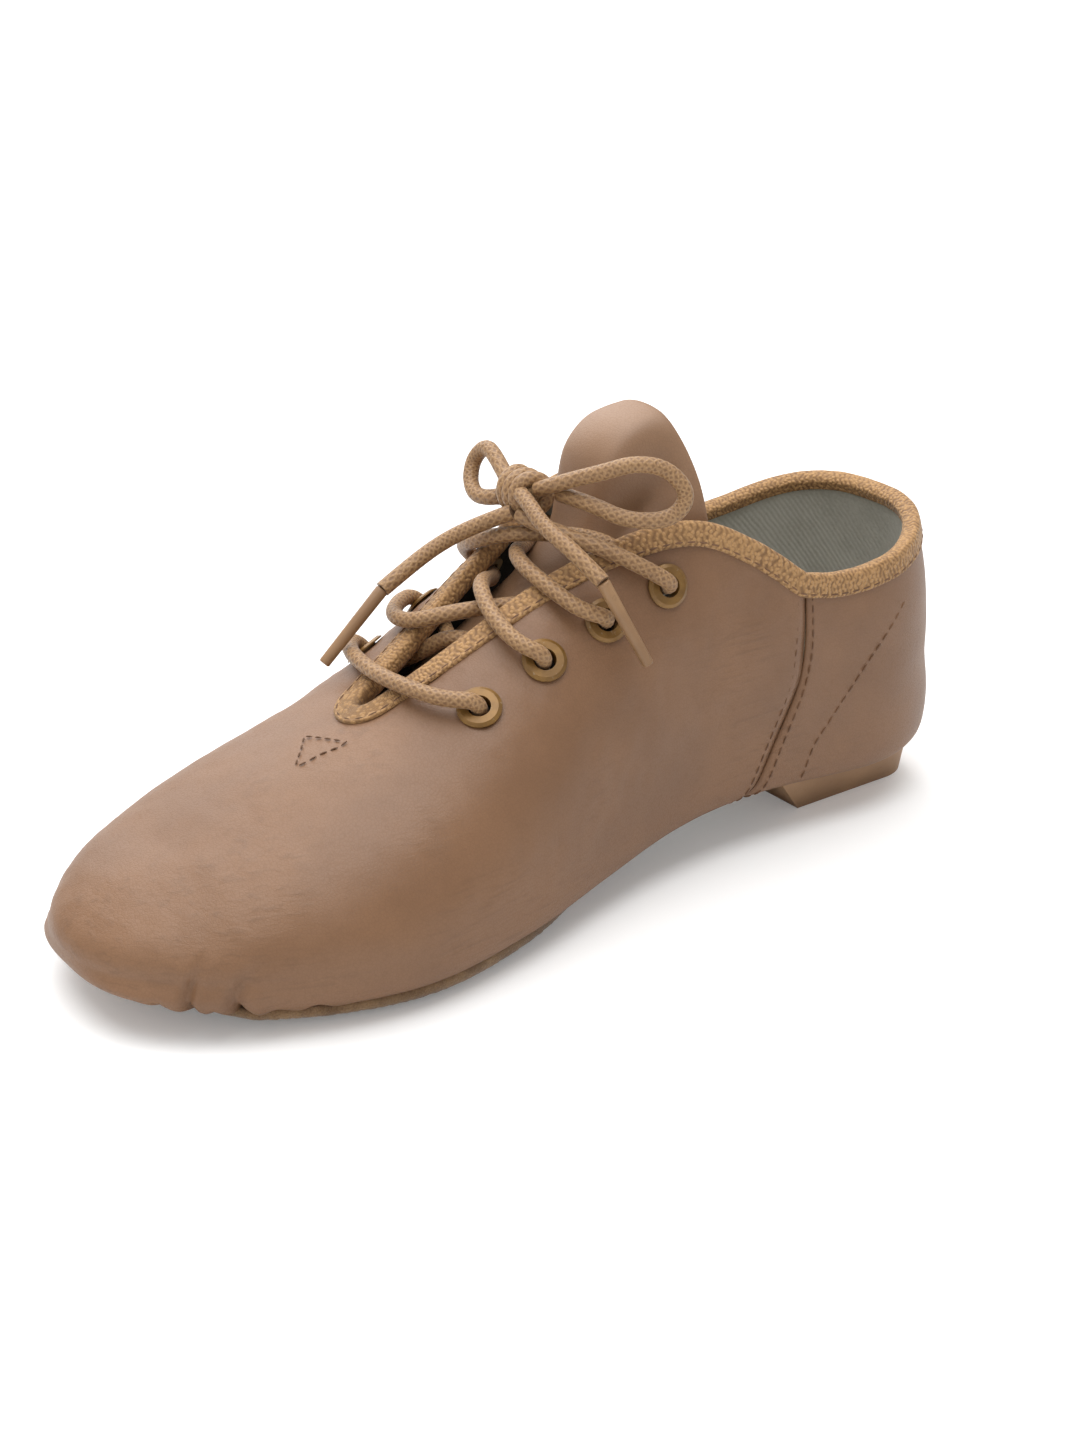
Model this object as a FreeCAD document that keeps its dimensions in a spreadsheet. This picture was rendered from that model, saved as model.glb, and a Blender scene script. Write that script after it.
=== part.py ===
import FreeCAD, Part
import math
import os
import Sketcher

# Lace-up split-sole dance shoe, right way up: +Z up, toe towards -Y, +X is the laced shoe's near side.
# The shapes are laid out in the last's own frame (x across, y back from the toe tip, z up)
# and every sub-part's Placement then moves it to the middle of its footprint.

Vec = FreeCAD.Vector
doc = FreeCAD.newDocument("DanceShoe")

sizes = {
    "shoeLength": 210.0,
    "upperThickness": 1.2,
    "seatGap": 0.45,
    "layerGap": 0.15,
    "stayThickness": 0.45,
    "liningThickness": 0.65,
    "counterThickness": 0.85,
    "tongueThickness": 1.2,
    "bindingThickness": 0.75,
    "bindingWidth": 4.3,
    "boardThickness": 1.6,
    "sockThickness": 1.0,
    "soleThickness": 2.0,
    "solePress": 0.35,          # how much of the sole the floor presses flat
    "heelHeight": 13.0,
    "heelBottomHalf": 18.0,
    "heelTopHalf": 23.0,
    "heelBottomFront": 168.3,
    "heelTopFront": 156.5,
    "heelBack": 206.0,
    "heelBottomRound": 10.0,
    "heelTopRound": 15.0,
    "eyeletFlangeRadius": 4.45,
    "eyeletHoleRadius": 2.3,
    "eyeletWall": 0.3,
    "eyeletFlangeHeight": 0.75,
    "eyeletGrip": 3.05,
    "eyeletRollRadius": 3.7,
    "laceDiameter": 3.3,
    "agletLength": 19.0,
    "agletRadius": 1.45,
    "knotWidth": 12.0,
    "knotHeight": 9.0,
    "tackRadius": 0.7,
    "tackLength": 7.0,
    "tackHeadRadius": 1.8,
    "tackHeadHeight": 0.5,
}
sheet = doc.addObject("Spreadsheet::Sheet", "Sizes")
for row, (alias, value) in enumerate(sizes.items(), 1):
    sheet.set("A%d" % row, alias)
    sheet.set("B%d" % row, str(value))
    sheet.setAlias("B%d" % row, alias)
doc.recompute()


def size(alias):
    return float(getattr(sheet, alias))


unit = size("shoeLength") / 210.0
shoeLength = size("shoeLength")
upperIn = -size("upperThickness")
stayOut = upperIn - size("layerGap")
stayIn = stayOut - size("stayThickness")
liningOut = stayIn - size("layerGap")
liningIn = liningOut - size("liningThickness")
counterIn = stayOut - size("counterThickness")
backLiningOut = counterIn - size("layerGap")

nodes = []


# ---------------------------------------------------------------- the last
def curve(stations):
    """Smooth curve through (station, value) pairs given for a 210 mm shoe."""
    xs = [s[0] * unit for s in stations]
    ys = [s[1] * unit for s in stations]
    slopes = slopesOf(xs, ys)
    return lambda x: hermite(xs, ys, slopes, x)


def slopesOf(xs, ys):
    n = len(xs)
    chords = [(ys[i + 1] - ys[i]) / (xs[i + 1] - xs[i]) for i in range(n - 1)]
    inner = []
    for i in range(1, n - 1):
        before = xs[i] - xs[i - 1]
        after = xs[i + 1] - xs[i]
        inner.append((chords[i - 1] * after + chords[i] * before) / (before + after))
    return [chords[0]] + inner + [chords[-1]]


def hermite(xs, ys, slopes, x):
    if x <= xs[0]:
        return ys[0] + slopes[0] * (x - xs[0])
    if x >= xs[-1]:
        return ys[-1] + slopes[-1] * (x - xs[-1])
    i = 0
    while x > xs[i + 1]:
        i += 1
    h = xs[i + 1] - xs[i]
    t = (x - xs[i]) / h
    return (ys[i] * (1 + 2 * t) * (1 - t) ** 2 + slopes[i] * h * t * (1 - t) ** 2
            + ys[i + 1] * t * t * (3 - 2 * t) + slopes[i + 1] * h * t * t * (t - 1))


nearHalf = curve([(0, 29), (25, 35), (55, 41.5), (80, 38.5), (105, 32), (130, 28), (160, 28.5),
                  (185, 30.5), (210, 29)])
farHalf = curve([(0, 30), (25, 34.5), (55, 36), (80, 34), (105, 31), (130, 28.5), (160, 28),
                 (185, 28.5), (210, 28)])
ridge = curve([(0, 25), (22, 29), (45, 37), (67, 46), (81, 54), (96, 64), (109, 73), (120, 83),
               (130, 91), (150, 100), (210, 100)])
keel = curve([(0, 6.5), (20, 3.8), (45, 2), (80, 2), (102, 3.5), (125, 7.5), (150, 9.5), (175, 9),
              (210, 9)])
widest = curve([(0, 13), (30, 13), (60, 12.5), (90, 16), (120, 24), (150, 31), (180, 33), (210, 34)])
feather = curve([(0, 6), (110, 6), (150, 10), (172, 14), (210, 14)])
toeCap = 44.0 * unit
heelCap = 34.0 * unit
heelCapStart = shoeLength - heelCap
heelLean = 3.4 * unit
heelLeanStart = 140.0 * unit
heelMiddle = 32.0 * unit
toePower = 2.2
heelPower = 2.3


def lastValue(p):
    """Below 0 inside the last, 0 on its skin."""
    lean = max(0.0, (p.y - heelLeanStart) / (shoeLength - heelLeanStart)) ** 2
    y = p.y + heelLean * lean * ((p.z - heelMiddle) / heelMiddle) ** 2
    station = min(max(y, 0.0), shoeLength)
    half = nearHalf(station) if p.x >= 0 else farHalf(station)
    middle = widest(station)
    if p.z >= middle:
        height, across, upright = ridge(station) - middle, 2.2, 2.1
    else:
        height, upright = middle - keel(station), feather(station) / unit
        fade = min((middle - p.z) / (0.6 * height), 1.0)
        across = 2.2 + 0.8 * fade * fade * (3 - 2 * fade)
    value = (abs(p.x) / half) ** across + (abs(p.z - middle) / height) ** upright
    if y < toeCap:
        value += ((toeCap - y) / toeCap) ** toePower
    if y > heelCapStart:
        value += ((y - heelCapStart) / heelCap) ** heelPower
    return value - 1


def lastNormal(p):
    step = 0.02
    return Vec(lastValue(p + Vec(step, 0, 0)) - lastValue(p - Vec(step, 0, 0)),
               lastValue(p + Vec(0, step, 0)) - lastValue(p - Vec(0, step, 0)),
               lastValue(p + Vec(0, 0, step)) - lastValue(p - Vec(0, 0, step))).normalize()


def castOut(start, direction):
    """Where a ray from inside the last leaves it."""
    direction = Vec(direction).normalize()
    near, far = 0.0, shoeLength
    for _ in range(36):
        middle = (near + far) / 2
        if lastValue(start + direction * middle) < 0:
            near = middle
        else:
            far = middle
    return start + direction * near


def skinPoint(p):
    """The last's skin beside p, seen from the last's spine."""
    y = min(max(p.y, toeCap + 2 * unit), heelCapStart - 2 * unit)
    start = Vec(0, y, widest(y))
    return castOut(start, p - start)


def underside(x, y):
    """The last's underside below (x, y)."""
    return castOut(Vec(x, y, widest(y) - 0.5), Vec(0, 0, -1))


# ---------------------------------------------------------------- sheet solids
def clampedKnots(count, degree):
    spans = count - degree
    return list(range(spans + 1)), [degree + 1] + [1] * (spans - 1) + [degree + 1]


def faceOver(poles, degrees=(3, 3)):
    uKnots, uTimes = clampedKnots(len(poles), degrees[0])
    vKnots, vTimes = clampedKnots(len(poles[0]), degrees[1])
    surface = Part.BSplineSurface()
    surface.buildFromPolesMultsKnots(poles, uTimes, vTimes, uKnots, vKnots, False, False, *degrees)
    return surface.toShape()


def closeSolid(faces):
    shell = Part.makeShell(faces)
    shell.sewShape()
    solid = Part.makeSolid(shell)
    if solid.Volume < 0:
        solid.reverse()
    return solid


def sheetSolid(outer, inner):
    """Solid between two pole grids of the same size."""
    faces = [faceOver(outer), faceOver(inner)]
    borders = [(outer[0], inner[0]), (outer[-1], inner[-1]),
               ([r[0] for r in outer], [r[0] for r in inner]),
               ([r[-1] for r in outer], [r[-1] for r in inner])]
    for a, b in borders:
        faces.append(faceOver([a, b], (1, 3)))
    return closeSolid(faces)


def offsetGrid(grid, offset):
    """Moves every point of a skin grid along its normal; offset is a number or a rule of (s, t)."""
    rows = len(grid) - 1
    columns = len(grid[0]) - 1
    rule = offset if callable(offset) else (lambda s, t: offset)
    return [[p + n * rule(i / rows, j / columns) for j, (p, n) in enumerate(row)]
            for i, row in enumerate(grid)]


def skinGrid(guides, steps, rows, heights=(0.0, 0.36, 1.0)):
    """Grid on the skin from guide columns; each column holds one point per height."""
    count = len(guides)
    index = list(range(count))
    lines = []
    for level in range(len(heights)):
        parts = []
        for axis in range(3):
            values = [column[level][axis] for column in guides]
            parts.append((values, slopesOf(index, values)))
        lines.append(parts)
    grid = []
    for i in range((count - 1) * steps + 1):
        at = i / steps
        spots = [[hermite(index, v, m, at) for v, m in parts] for parts in lines]
        column = []
        for j in range(rows + 1):
            t = j / rows
            xyz = []
            for axis in range(3):
                values = [spot[axis] for spot in spots]
                xyz.append(hermite(heights, values, slopesOf(heights, values), t))
            p = skinPoint(Vec(*xyz))
            column.append((p, lastNormal(p)))
        grid.append(column)
    return grid


def addSheet(label, outer, inner, cuts=()):
    shape = sheetSolid(outer, inner)
    for cut in cuts:
        shape = shape.cut(cut)
    return addShape(label, shape)


def addShape(label, shape):
    item = doc.addObject("Part::Feature", label)
    item.Label = label
    item.Shape = shape
    nodes.append(item)
    return item


# ---------------------------------------------------------------- outlines of the upper
marginShare = 0.62      # how far the lasting margin turns in under the foot
marginToe = 16.0 * unit


def outlinePoint(station, side, share=1.0, toe=0.0):
    """Point of the last's plan outline; share and toe draw it in."""
    if station < toeCap:
        turn = math.radians(90) * (1 - station / toeCap)
        y = toeCap - (toeCap - toe) * math.sin(turn) ** (2 / toePower)
        across = math.cos(turn) ** (2 / 2.8)
    elif station > heelCapStart:
        turn = math.radians(90) * (station - heelCapStart) / heelCap
        y = heelCapStart + (heelCap - toe * 0.5) * math.sin(turn) ** (2 / heelPower)
        across = math.cos(turn) ** (2 / 2.8)
    else:
        y = station
        across = 1.0
    half = nearHalf(y) if side > 0 else farHalf(y)
    return Vec(side * half * across * share, y, 0)


def fanColumn(side, station, top, lean):
    """Guide column from the turned-in margin over the widest line to the top edge."""
    middle = outlinePoint(station * unit, side)
    middle.z = widest(middle.y)
    low = outlinePoint((station - lean) * unit, side, marginShare, marginToe)
    low.z = keel(low.y)
    return [tuple(low), tuple(middle), (side * top[0] * unit, top[1] * unit, top[2] * unit)]


# widest-line station, top edge (x, y, z), lean of the margin
frontFan = [
    (154.5, (27.3, 158.4, 61.0), 13.5),
    (137, (23.9, 145.5, 70.2), 9),
    (122, (20.6, 133.5, 75.6), 5),
    (107, (16.2, 118.5, 73.8), 2),
    (92, (11.2, 105.0, 67.8), 0),
    (76, (8.0, 92.0, 60.8), 0),
    (60, (5.1, 79.5, 53.4), 0),
    (44, (3.2, 71.0, 48.8), 0),
    (28, (2.2, 67.0, 46.6), 0),
    (14, (1.2, 65.3, 45.8), 0),
    (0, (0.0, 64.8, 45.5), 0),
]
backFan = [
    (154.9, (27.35, 158.8, 60.8), 13.5),
    (165, (28.0, 167.0, 59.2), 8),
    (175, (28.2, 176.0, 59.0), 3),
    (185, (27.3, 185.0, 60.4), 0),
    (194, (22.5, 194.0, 62.8), 0),
    (202, (13.0, 202.0, 65.4), 0),
    (210, (0.0, 205.6, 66.6), 0),
]


def bothSides(fan):
    near = [fanColumn(1, *entry) for entry in fan]
    far = [fanColumn(-1, *entry) for entry in fan[:-1]]
    return near + far[::-1]


upperRows = 30
frontGrid = skinGrid(bothSides(frontFan), 4, upperRows)
backGrid = skinGrid(bothSides(backFan), 4, upperRows)


# ---------------------------------------------------------------- eyelets
eyeletSpots = [(20.4, 79.8), (21.2, 94.6), (21.8, 109.2), (22.8, 123.8)]


def skinAt(x, y):
    """Upper skin of the last over (x, y)."""
    return castOut(Vec(x, y, widest(y) + 0.5), Vec(0, 0, 1))


eyelets = []
for side, word in ((1, "near"), (-1, "far")):
    for number, (x, y) in enumerate(eyeletSpots, 1):
        spot = skinAt(side * x * unit, y * unit)
        eyelets.append(("%s_eyelet_%d" % (word, number), spot, lastNormal(spot)))

holeRadius = size("eyeletHoleRadius") + size("eyeletWall") + size("layerGap")
holes = [Part.makeCylinder(holeRadius, 8, spot - normal * 5, normal) for _, spot, normal in eyelets]

addSheet("front_upper", offsetGrid(frontGrid, 0), offsetGrid(frontGrid, upperIn), holes)
addSheet("back_upper", offsetGrid(backGrid, 0), offsetGrid(backGrid, upperIn))


def part(grid, s0, s1, t0, t1):
    """Sub-grid between two fractions along and up the grid."""
    rows = len(grid) - 1
    columns = len(grid[0]) - 1
    return [row[round(t0 * columns):round(t1 * columns) + 1]
            for row in grid[round(s0 * rows):round(s1 * rows) + 1]]


liningGrid = part(frontGrid, 0, 1, 0.08, 1)
addSheet("front_lining", offsetGrid(liningGrid, liningOut), offsetGrid(liningGrid, liningIn), holes)


def backOffset(level):
    """Back lining lies on the counter low down and on the upper at the collar."""
    def rule(s, t):
        blend = min(max((t - 0.68) / 0.2, 0), 1)
        share = blend * blend * (3 - 2 * blend)
        low = backLiningOut - level
        high = liningOut - level
        return low + (high - low) * share
    return rule


backLining = part(backGrid, 0, 1, 0.08, 1)
addSheet("back_lining", offsetGrid(backLining, backOffset(0)),
         offsetGrid(backLining, backOffset(size("liningThickness"))))
counterGrid = part(backGrid, 0.16, 0.84, 0.2, 0.7)
addSheet("heel_counter", offsetGrid(counterGrid, stayOut - 0.05), offsetGrid(counterGrid, counterIn))


# ---------------------------------------------------------------- stays and seam tapes
def stripGrid(path, halfWidth, columns, across=4):
    """Grid on the skin along a path of skin points, of even width."""
    grid = []
    for i in range(columns + 1):
        at = i / columns * (len(path) - 1)
        index = list(range(len(path)))
        xyz = []
        for axis in range(3):
            values = [p[axis] for p in path]
            xyz.append(hermite(index, values, slopesOf(index, values), at))
        middle = skinPoint(Vec(*xyz))
        ahead = []
        for axis in range(3):
            values = [p[axis] for p in path]
            ahead.append(hermite(index, values, slopesOf(index, values), min(at + 0.02, len(path) - 1))
                         - hermite(index, values, slopesOf(index, values), max(at - 0.02, 0)))
        sideways = lastNormal(middle).cross(Vec(*ahead)).normalize()
        row = []
        for j in range(across + 1):
            p = skinPoint(middle + sideways * halfWidth * (2 * j / across - 1))
            row.append((p, lastNormal(p)))
        grid.append(row)
    return grid


stayOverhang = 7.0 * unit
for side, word in ((1, "near"), (-1, "far")):
    spots = [spot for name, spot, _ in eyelets if name.startswith(word)]
    start = spots[0] + (spots[0] - spots[1]).normalize() * stayOverhang
    end = spots[-1] + (spots[-1] - spots[-2]).normalize() * stayOverhang
    grid = stripGrid([start] + spots + [end], 5.5, 16)
    addSheet(word + "_eyelet_stay", offsetGrid(grid, stayOut), offsetGrid(grid, stayIn), holes)

tapeRows = (0.2, 0.86)
for word, column in (("near", frontGrid[0]), ("far", frontGrid[-1])):
    rows = len(column) - 1
    seam = [column[round(rows * (tapeRows[0] + (tapeRows[1] - tapeRows[0]) * k / 5))][0]
            for k in range(6)]
    grid = stripGrid(seam, 4.0, 12)
    addSheet(word + "_seam_tape", offsetGrid(grid, stayOut), offsetGrid(grid, stayIn))


# ---------------------------------------------------------------- binding of the throat and collar
def bindingRing(edge, inwards):
    """Section of the U-shaped tape at one edge point; inwards points down the leather."""
    thick = size("bindingThickness")
    width = size("bindingWidth")
    gap = size("layerGap")
    outSide, backSide = gap, liningIn - gap
    normal = lastNormal(edge)
    down = []
    for share in (0.5, 1.0):
        p = skinPoint(edge + inwards * width * share)
        down.append((p, lastNormal(p)))
    crest = edge - inwards * 0.2
    middle = (outSide + backSide) / 2
    ring = [p + n * outSide for p, n in (down[1], down[0])]
    ring += [crest + normal * outSide, crest + normal * backSide]
    ring += [p + n * backSide for p, n in (down[0], down[1])]
    ring += [p + n * (backSide - thick) for p, n in (down[1], down[0])]
    ring += [crest - inwards * thick * 0.45 + normal * (backSide - thick * 0.7),
             crest - inwards * thick + normal * middle,
             crest - inwards * thick * 0.45 + normal * (outSide + thick * 0.7)]
    ring += [p + n * (outSide + thick) for p, n in (down[0], down[1])]
    return ring


frontEdge = [column[-1][0] for column in frontGrid]
backEdge = [column[-1][0] for column in backGrid]
half = len(backEdge) // 2
edgePath = backEdge[half:-1] + frontEdge[::-1] + backEdge[1:half + 1]
edgeDown = [column[-4][0] for column in backGrid][half:-1]
edgeDown += [column[-4][0] for column in frontGrid][::-1]
edgeDown += [column[-4][0] for column in backGrid][1:half + 1]
rings = []
last = len(edgePath) - 1
for i, edge in enumerate(edgePath):
    along = (edgePath[min(i + 1, last)] - edgePath[max(i - 1, 0)]).normalize()
    normal = lastNormal(edge)
    inwards = normal.cross(along).normalize()
    if inwards.dot(edgeDown[i] - edge) < 0:
        inwards = inwards * -1
    rings.append(bindingRing(edge, inwards))
strands = [[ring[k] for ring in rings] for k in range(len(rings[0]))]
faces = []
for a, b in zip(strands, strands[1:] + strands[:1]):
    faces.append(faceOver([a, b], (1, 3)))
for ring in (rings[0], rings[-1]):
    faces.append(Part.makeFilledFace(Part.makePolygon(ring + [ring[0]]).Edges))
addShape("topline_binding", closeSolid(faces))

# ---------------------------------------------------------------- tongue
tongueHalf = curve([(50, 11), (66, 15), (85, 18), (105, 20), (120, 20.5), (137, 21.5)])
tongueRoot, tongueTop = 50.0 * unit, 135.5 * unit
tongueMiddle = curve([(50, -2.75), (58, -3.3), (70, -7.5), (106, -8.4), (113, -6.8), (118, -1.5),
                      (123, 2.4), (128, 3.3), (132, 2.1), (138, -0.4)])
tongueSide = curve([(50, -2.75), (58, -3.3), (70, -7.5), (112, -8.8), (124, -8.6), (129, -6.0),
                    (133, -3.0), (138, -0.5)])
tongueTuck = -4.0


def tongueGrid(trim=0.0):
    """Grid over the instep, root row first; trim narrows and shortens it."""
    grid = []
    rows, columns = 24, 20
    for i in range(rows + 1):
        y = tongueRoot + trim + (tongueTop - tongueRoot - 2 * trim) * i / rows
        line = []
        for j in range(columns + 1):
            across = 2 * j / columns - 1
            spread = 3.0 * unit * across ** 2 * (y - tongueRoot) / (tongueTop - tongueRoot)
            p = skinAt(across * (tongueHalf(y) - trim), y + spread)
            fade = min(max((abs(across + 0.08) - 0.3) / 0.5, 0.0), 1.0)
            sag = tongueMiddle(y) + (tongueSide(y) - tongueMiddle(y)) * fade * fade * (3 - 2 * fade)
            sag += (min(sag, tongueTuck) - sag) * across ** 8
            normal = lastNormal(p)
            line.append((p + normal * sag, normal))
        grid.append(line)
    return grid


tongueIn = -size("tongueThickness")
tongueSkin = tongueGrid()
addSheet("tongue", offsetGrid(tongueSkin, 0), offsetGrid(tongueSkin, tongueIn))
tongueBack = tongueGrid(1.5)
backOut = tongueIn - 2 * size("layerGap")
addSheet("tongue_lining", offsetGrid(tongueBack, backOut),
         offsetGrid(tongueBack, backOut - size("liningThickness")))


# ---------------------------------------------------------------- under the foot
def halfAt(y, side):
    """Half width of the last at its widest height, with the rounded ends."""
    half = nearHalf(y) if side > 0 else farHalf(y)
    cap = 0.0
    if y < toeCap:
        cap = ((toeCap - y) / toeCap) ** toePower
    if y > heelCapStart:
        cap = ((y - heelCapStart) / heelCap) ** heelPower
    return half * max(1 - cap, 0.001) ** (1 / 2.8)


def underGrid(start, end, share, rows=24, columns=10, startCurve=0.0, endCurve=0.0):
    """Grid on the underside from start to end, as wide as a share of the last, with bowed ends."""
    grid = []
    for i in range(rows + 1):
        line = []
        for j in range(columns + 1):
            across = 2 * j / columns - 1
            y = start + (end - start) * (1 - math.cos(math.pi * i / rows)) / 2
            y += startCurve * across ** 2 * (1 - i / rows) ** 3 - endCurve * across ** 2 * (i / rows) ** 3
            rule = share(y) if callable(share) else share
            p = underside(across * rule * halfAt(y, across), y)
            line.append((p, lastNormal(p)))
        grid.append(line)
    return grid


boardOut = -2.8
boardIn = boardOut - size("boardThickness")
sockOut = boardIn - 0.2
sockIn = sockOut - size("sockThickness")
forefootEnd = 106.0 * unit
heelBoardStart = 163.0 * unit

frontBoard = underGrid(9 * unit, forefootEnd, 0.74, startCurve=12.0)
addSheet("forefoot_insole", offsetGrid(frontBoard, boardOut), offsetGrid(frontBoard, boardIn))
filler = underGrid(24 * unit, 98 * unit, 0.5, startCurve=6.0)
addSheet("forefoot_filler", offsetGrid(filler, -0.1), offsetGrid(filler, boardOut + 0.1))
sock = underGrid(10 * unit, 203 * unit, 0.72, 40, startCurve=12.0, endCurve=12.0)
addSheet("sock_liner", offsetGrid(sock, sockOut), offsetGrid(sock, sockIn))
waist = underGrid(108.5 * unit, 160 * unit, 0.74, 14)
addSheet("arch_panel", offsetGrid(waist, liningIn - 0.15), offsetGrid(waist, liningIn - 0.95))

soleShare = curve([(0, 0.7), (40, 0.84), (70, 0.88), (90, 0.82), (110, 0.66)])
sole = underGrid(9 * unit, 104 * unit, lambda y: soleShare(y) / unit, 30, 12, 15.0, 7.0)
soleTop = [[p + Vec(0, 0, -0.15) for p, n in line] for line in sole]
soleBottom = [[Vec(p.x, p.y, keel(p.y) - size("soleThickness") - size("solePress") + 0.72 * (p.z - keel(p.y)))
               for p, n in line] for line in sole]
ground = Part.makeBox(200, 300, 20, Vec(-100, -50, -20))
addSheet("forefoot_sole", soleBottom, soleTop, [ground])


# ---------------------------------------------------------------- heel block and its tacks
def originPlane(body, role):
    return [f for f in body.Origin.OriginFeatures if f.Role == role][0]


def boundSketch(body, name, role, corners, height=None, rounds=(), radius=None):
    """Closed outline whose corner places are bound to the sheet; rounds are the sides that are arcs."""
    sketch = body.newObject("Sketcher::SketchObject", name)
    sketch.AttachmentSupport = (originPlane(body, role), "")
    sketch.MapMode = "FlatFace"
    if height:
        sketch.setExpression("AttachmentOffset.Base.z", height)
    corners = [[e.replace("$", "Sizes.") for e in corner] for corner in corners]
    places = [Vec(*[float(sheet.evalExpression(e)) for e in corner], 0) for corner in corners]
    count = len(places)
    for i, (a, b) in enumerate(zip(places, places[1:] + places[:1])):
        if i in rounds:
            middle = Vec(b.x, a.y, 0) if abs(a.x) > abs(b.x) else Vec(a.x, b.y, 0)
            edge = Part.ArcOfCircle(Part.Circle(middle, Vec(0, 0, 1), (a - middle).Length),
                                    math.atan2(a.y - middle.y, a.x - middle.x),
                                    math.atan2(b.y - middle.y, b.x - middle.x))
        else:
            edge = Part.LineSegment(a, b)
        sketch.addGeometry(edge, False)
    for i in range(count):
        sketch.addConstraint(Sketcher.Constraint("Coincident", i, 2, (i + 1) % count, 1))
        if i in rounds:
            place = sketch.addConstraint(Sketcher.Constraint("Radius", i, sketch.Geometry[i].Radius))
            sketch.setExpression("Constraints[%d]" % place, radius.replace("$", "Sizes."))
    for i in range(count):
        for kind, value, rule in zip(("DistanceX", "DistanceY"), places[i], corners[i]):
            place = sketch.addConstraint(Sketcher.Constraint(kind, -1, 1, i, 1, value))
            sketch.setExpression("Constraints[%d]" % place, rule)
    return sketch


def heelOutline(end):
    """Straight breast in front, rounded at the back; end is Bottom or Top."""
    half, front, bend = "$heel%sHalf" % end, "$heel%sFront" % end, "$heel%sRound" % end
    straight = "$heelBack - " + bend
    return [("-" + half, front), (half, front), (half, straight), (half + " - " + bend, "$heelBack"),
            ("%s - %s" % (bend, half), "$heelBack"), ("-" + half, straight)]


heelBlank = doc.addObject("PartDesign::Body", "heel_blank")
bottomSketch = boundSketch(heelBlank, "HeelBottom", "XY_Plane", heelOutline("Bottom"),
                           rounds=(2, 4), radius="$heelBottomRound")
topSketch = boundSketch(heelBlank, "HeelTop", "XY_Plane", heelOutline("Top"), "Sizes.heelHeight",
                        rounds=(2, 4), radius="$heelTopRound")
doc.recompute()
loft = heelBlank.newObject("PartDesign::AdditiveLoft", "HeelLoft")
loft.Profile = bottomSketch
loft.Sections = [topSketch]
doc.recompute()

# what the block must make room for: the seat of the last and the tacks
seatGrid = underGrid(146 * unit, 206 * unit, 0.96)
seatLow = [[p + Vec(0, 0, -size("seatGap")) for p, n in line] for line in seatGrid]
seatHigh = [[p + Vec(0, 0, 30) for p in line] for line in seatLow]
seat = doc.addObject("Part::Feature", "heel_seat")
seat.Shape = sheetSolid(seatLow, seatHigh)

tackSpots = [(-8, 174), (8, 174), (-8.5, 190), (8.5, 190)]
boardGrid = underGrid(heelBoardStart, 203 * unit, 0.72, 16, endCurve=12.0)
heelBoard = sheetSolid(offsetGrid(boardGrid, boardOut), offsetGrid(boardGrid, boardIn))


def boardTop(x, y):
    """Height of the heel board's upper face."""
    return underside(x, y).z - boardIn


def tackShape(x, y, slack):
    top = boardTop(x, y) + 0.05
    headHeight = size("tackHeadHeight") + slack
    shank = Part.makeCylinder(size("tackRadius") + slack, size("tackLength") + slack,
                              Vec(x, y, top - size("tackLength") - slack))
    headPart = Part.makeCylinder(size("tackHeadRadius") + slack, headHeight + 1.0 * (slack > 0),
                                 Vec(x, y, top - headHeight))
    return shank.fuse(headPart)


tackRoom = Part.makeCompound([tackShape(x * unit, y * unit, 0.12) for x, y in tackSpots])
roomItem = doc.addObject("Part::Feature", "tack_room")
roomItem.Shape = tackRoom
seated = doc.addObject("Part::Cut", "heel_seated")
seated.Base = heelBlank
seated.Tool = seat
block = doc.addObject("Part::Cut", "heel_block")
block.Label = "heel_block"
block.Base = seated
block.Tool = roomItem
nodes.append(block)
addShape("heel_insole", heelBoard.cut(tackRoom))

tacks = []
for number, (x, y) in enumerate(tackSpots, 1):
    top = boardTop(x * unit, y * unit) + 0.05
    shank = doc.addObject("Part::Cylinder", "TackShank%d" % number)
    shank.setExpression("Radius", "Sizes.tackRadius")
    shank.setExpression("Height", "Sizes.tackLength")
    shank.Placement.Base = Vec(x * unit, y * unit, top - size("tackLength"))
    cap = doc.addObject("Part::Cylinder", "TackHead%d" % number)
    cap.setExpression("Radius", "Sizes.tackHeadRadius")
    cap.setExpression("Height", "Sizes.tackHeadHeight")
    cap.Placement.Base = Vec(x * unit, y * unit, top - size("tackHeadHeight"))
    tack = doc.addObject("Part::Fuse", "Tack%d" % number)
    tack.Base = shank
    tack.Tool = cap
    tacks.append(tack)
tackSet = doc.addObject("Part::Compound", "heel_tacks")
tackSet.Label = "heel_tacks"
tackSet.Links = tacks
nodes.append(tackSet)

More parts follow.
